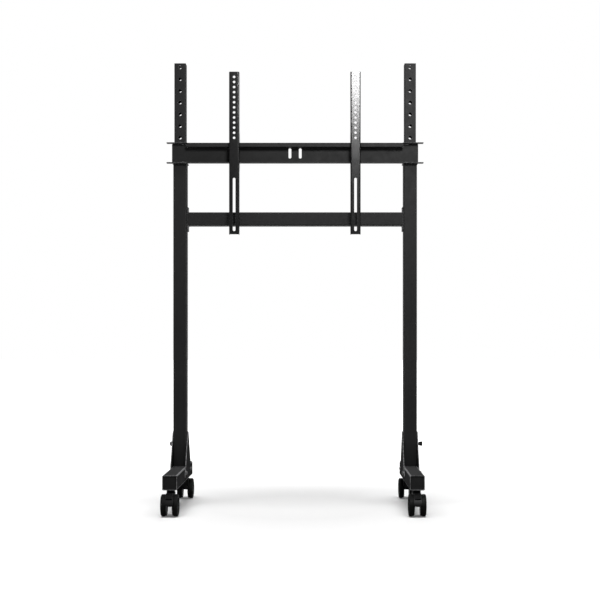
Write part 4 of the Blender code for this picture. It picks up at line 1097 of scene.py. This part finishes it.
def make_caster_body(where, end, braked):
    """Moulded hood between the wheels, with its swivel boss and, in front, a slot for the brake lever."""
    node = f"caster_{where}_body"
    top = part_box(node)[1].z
    middle = middle_of(f"caster_{where}_stem")
    foot = (middle.x, middle.y, 0)
    axle = (middle.x, middle.y + end * TRAIL, WHEEL_RADIUS)

    def wells():
        return [rod(2 * HOOD_WELL_RADIUS, *sorted((out * HOOD_WEB / 2, out * HOOD_WIDTH)), "x", axle, WHEEL_STEPS)
                for _, out in SIDES]

    hood = plate([facing(hood_outline(), end)], HOOD_WIDTH, "x", foot, 0.001)
    cutters = [rod(0.0066, -HOOD_WIDTH, HOOD_WIDTH, "x", axle), *wells()]
    if braked:
        cutters.append(prism(lever_slot(end), -LEVER_ROOM / 2, LEVER_ROOM / 2, "x", foot))
        cutters.append(rod(2 * LEVER_HUB_RADIUS + 0.001, -LEVER_ROOM / 2, LEVER_ROOM / 2, "x", axle))
    hood = softened(carved(hood, *cutters), 0.0003, 2, 50)
    wide, boss_low = SWIVEL_RADIUS, HOOD_BOTTOM + SWIVEL_RADIUS
    boss = turned([
        (0, boss_low), (wide - 0.004, boss_low, 0.002), (wide - 0.0006, boss_low + 0.006, 0.004),
        (wide, top - 0.0044, 0.0003), (wide - 0.0006, top - 0.0041, 0.0001), (wide - 0.0006, top - 0.0035, 0.0001),
        (wide, top - 0.0032, 0.0003), (wide - 0.0001, top - 0.0008, 0.0006), (wide - 0.0012, top, 0.0003),
        (0.0112, top), (0.0109, top - 0.0006), (0, top - 0.0006),
    ], "z", foot)
    piece(f"caster_hood_{where}", joined(hood, carved(boss, *wells())), "black_plastic", node=node)

    low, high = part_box(f"caster_{where}_axle")
    half = (high.x - low.x) / 2
    pin = turned([
        (0, -half), (0.0024, -half, 0.0002), (0.003, -half + 0.0006), (0.003, half - 0.0006),
        (0.0024, half, 0.0002), (0, half),
    ], "x", axle)
    piece(f"caster_axle_pin_{where}", pin, "zinc", node=f"caster_{where}_axle")


def make_wheel(where, place, out):
    """Tyre on a hub with a sunk disc, a ring of ribs and a bushing."""
    node = f"caster_{where}_wheel_{place}"
    low, high, middle = span_of(node)
    width = high.x - low.x
    inner_face = low.x if out > 0 else high.x
    turn = half_turn(out < 0)
    spot = (inner_face, middle.y, middle.z)
    radius, shoulder = WHEEL_RADIUS, WHEEL_SHOULDER
    tread = (shoulder + width) / 2
    tyre = turned([
        (0.0296, 0.0004), (0.0345, 0.0002, 0.0006), (0.0353, 0.001, 0.0006), (0.0353, shoulder, 0.0003),
        (radius - 0.0012, shoulder, 0.0004), (radius - 0.0002, shoulder + 0.0022, 0.002),
        (radius, tread - 0.0008, 0.0004), (radius - 0.0005, tread - 0.0003, 0.0001),
        (radius - 0.0005, tread + 0.0003, 0.0001), (radius, tread + 0.0008, 0.0004),
        (radius - 0.0004, width - 0.0026, 0.003), (radius - 0.0034, width - 0.0001, 0.0012),
        (0.0312, width - 0.0002, 0.0004), (0.0296, width - 0.0012),
    ], "x", spot, WHEEL_STEPS, tube=True, turn=turn)
    piece(f"tyre_{where}_{place}", tyre, "tyre_black", node=node)

    hub = turned([
        (0.0033, 0), (0.0058, 0, 0.0002), (0.006, 0.0008), (0.0265, 0.0008, 0.0003), (0.0275, 0.0001, 0.0002),
        (0.03, 0.0001), (0.03, width - 0.0014), (0.0292, width - 0.0002, 0.0003),
        (0.0272, width - 0.0002, 0.0006), (0.0262, width - 0.003, 0.0008), (0.011, width - 0.0036, 0.001),
        (0.0088, width - 0.003, 0.0006), (0.0084, width - 0.0014, 0.0006), (0.0056, width - 0.0012, 0.0004),
        (0.0048, width - 0.0026, 0.0003), (0.0033, width - 0.0026),
    ], "x", spot, WHEEL_STEPS, tube=True, turn=turn)
    rib = block((-0.0076, -0.0006, -0.0008), (0.0076, 0.0006, 0.0012), 0.0003)
    ribs = ring_of(rib, 9, 0.0184, "z", (0, 0, width - 0.0032), MOULDED_PLASTIC)
    placed(ribs, "x", spot, turn)
    piece(f"hub_{where}_{place}", joined(hub, ribs), "black_plastic",
          body=frame["nodes"][node]["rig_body"])


def make_brake_lever(where, end):
    """Tread over the hood on an arm that turns on the axle, with gripping ribs across the pad."""
    node = f"brake_lever_{where}"
    low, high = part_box(node)
    body = middle_of(f"caster_{where}_axle")
    pad_low, pad_high = LEVER_PAD_RADII
    width = high.x - low.x
    start, stop = LEVER_PAD
    crest = pad_high + 0.00375
    pad = [
        *arc(crest, start + 1.5, start + 4, 1), *arc(crest - 0.0014, start + 6.2, start + 7, 1),
        *arc(pad_high, start + 11, stop - 1.2, 8), polar(pad_high - 0.0008, stop),
        *arc(pad_low, stop, start, 10), polar(pad_high - 0.0006, start),
    ]
    shell = plate([facing(pad, end)], width, "x", body, 0.0007)
    turn = Matrix.Rotation(radians(LEVER_ARM_AT), 2)
    arm = box_outline(0.0045, -0.002, pad_low + 0.0016, 0.002, 0.0004)
    arm = [tuple(turn @ Vector(point)) for point in arm]
    arm = plate([facing(arm, end)], LEVER_WIDTH - 0.001, "x", body, 0.0004)
    ring = plate([circle(0, 0, 2 * LEVER_HUB_RADIUS, 40), circle(0, 0, 0.007)], LEVER_WIDTH, "x", body, 0.0005)
    rib = block((-0.00035, -width / 2 + 0.0022, -0.0005), (0.00035, width / 2 - 0.0022, 0.0005), 0)
    rib.transform(Matrix.Rotation(pi / 2, 4, "Z"))
    ribs = []
    for i in range(LEVER_RIBS):
        at = radians(start + 14 + i * 4.0)
        centre = (body.x, body.y + end * pad_high * cos(at), body.z + pad_high * sin(at))
        ribs.append(rib.copy())
        ribs[-1].transform(Matrix.Translation(centre) @ Matrix.Rotation(end * (at - pi / 2), 4, "X"))
    piece(f"brake_pedal_{where}", joined(shell, arm, ring, *ribs), "black_plastic", node=node)


def build_stand():
    for hand, side in SIDES:
        make_leg(hand)
        make_upright(hand)
        make_post(hand)
        for face in ("outer", "inner"):
            make_gusset(hand, face)
        for end_name, end in ENDS:
            where = f"{end_name}_{hand}"
            make_leg_cap(end_name, end, hand)
            make_gusset_bolt(end_name, hand, side)
            make_stem(where)
            make_caster_body(where, end, end_name == "front")
            make_wheel(where, "outer", side)
            make_wheel(where, "inner", -side)
            if end_name == "front":
                make_brake_lever(where, end)
        for row in ("upper", "lower"):
            make_cross_screw(row, hand, side)
        make_collar(hand, side)
        make_height_lock(hand)
        make_bracket(hand)
        make_bracket_lock(hand)
    make_foot_bolt()
    make_foot_knob()
    make_cross_bar()
    make_monitor_bar()


# Studio

def seen_or_mirrored(tree):
    """1 for rays from the camera, in a reflection or through glass, else 0."""
    path = add(tree, "ShaderNodeLightPath").outputs
    total = path["Is Camera Ray"]
    for ray in ("Is Glossy Ray", "Is Transmission Ray"):
        total = reckon(tree, "ADD", total, path[ray], use_clamp=True)
    return total


def make_world():
    world = bpy.data.worlds.new("studio")
    bpy.context.scene.world = world
    world.use_nodes = True
    tree = world.node_tree
    background = tree.nodes["Background"]
    background.inputs["Color"].default_value = (1, 1, 1, 1)
    tree.links.new(spread(tree, seen_or_mirrored(tree), 0, 1, 0.05, 1.0), background.inputs["Strength"])


def make_floor():
    work = bmesh.new()
    bmesh.ops.create_grid(work, x_segments=1, y_segments=1, size=40)
    floor = linked("studio_floor", settled(work))
    material = bpy.data.materials.new("pale_floor")
    material.use_nodes = True
    tree = material.node_tree
    tree.nodes.clear()
    paint = add(tree, "ShaderNodeBsdfDiffuse", {"Color": (0.66, 0.66, 0.66, 1)}).outputs[0]
    lift = add(tree, "ShaderNodeEmission", {"Color": (1, 1, 1, 1)})
    where = add(tree, "ShaderNodeTexCoord").outputs["Object"]
    # The floor's glow rises from 0.05 near the stand to 0.9 beyond 2.2 m, so the floor round the stand is left
    # darker: a painted shade round the stand.
    away = add(tree, "ShaderNodeVectorMath", {0: where}, operation="LENGTH").outputs["Value"]
    far = spread(tree, away, 0.3, 2.2, 0.05, 0.9)
    tree.links.new(times(tree, seen_or_mirrored(tree), far), lift.inputs["Strength"])
    both = add(tree, "ShaderNodeAddShader", {0: paint, 1: lift.outputs[0]}).outputs[0]
    add(tree, "ShaderNodeOutputMaterial", {"Surface": both})
    floor.data.materials.append(material)


def lamp(name, kind, place, target, energy, **settings):
    obj = linked(name, tuned(bpy.data.lights.new(name, kind), energy=energy, **settings))
    obj.location = place
    obj.rotation_euler = (Vector(target) - Vector(place)).to_track_quat("-Z", "Y").to_euler()
    return obj


def make_lamps():
    lamp("overhead", "SUN", (0.0, -0.75, 4.0), (0, 0, 0), 2.55, angle=radians(32))
    for name, side, energy in (("left_softbox", -1, 4.0), ("right_softbox", 1, 3.3)):
        lamp(name, "AREA", (side * 1.25, -0.5, 2.8), (side * 0.5, 0, 0), energy, shape="DISK", size=1.3,
             spread=radians(70))
    glint = lamp("front_strip", "AREA", (0.45, -2.1, 2.15), (0.2, 0, 1.2), 450.0, shape="SQUARE", size=0.55)
    glint.visible_diffuse = False
    lamp("rear_softbox", "AREA", (0.0, 2.4, 3.2), (0, 0, 1.0), 28.0, shape="SQUARE", size=1.4)


def make_camera():
    lens = tuned(bpy.data.cameras.new("camera"), lens=71.5, sensor_width=36.0, shift_x=-0.0273, shift_y=0.0742)
    bpy.context.scene.camera = tuned(linked("camera", lens), location=(0.0768, -4.2475, 0.578),
                                     rotation_euler=(radians(90), 0, 0))


make_camera()
build_stand()
make_world()
make_floor()
make_lamps()
bpy.context.scene.view_settings.view_transform = "Standard"
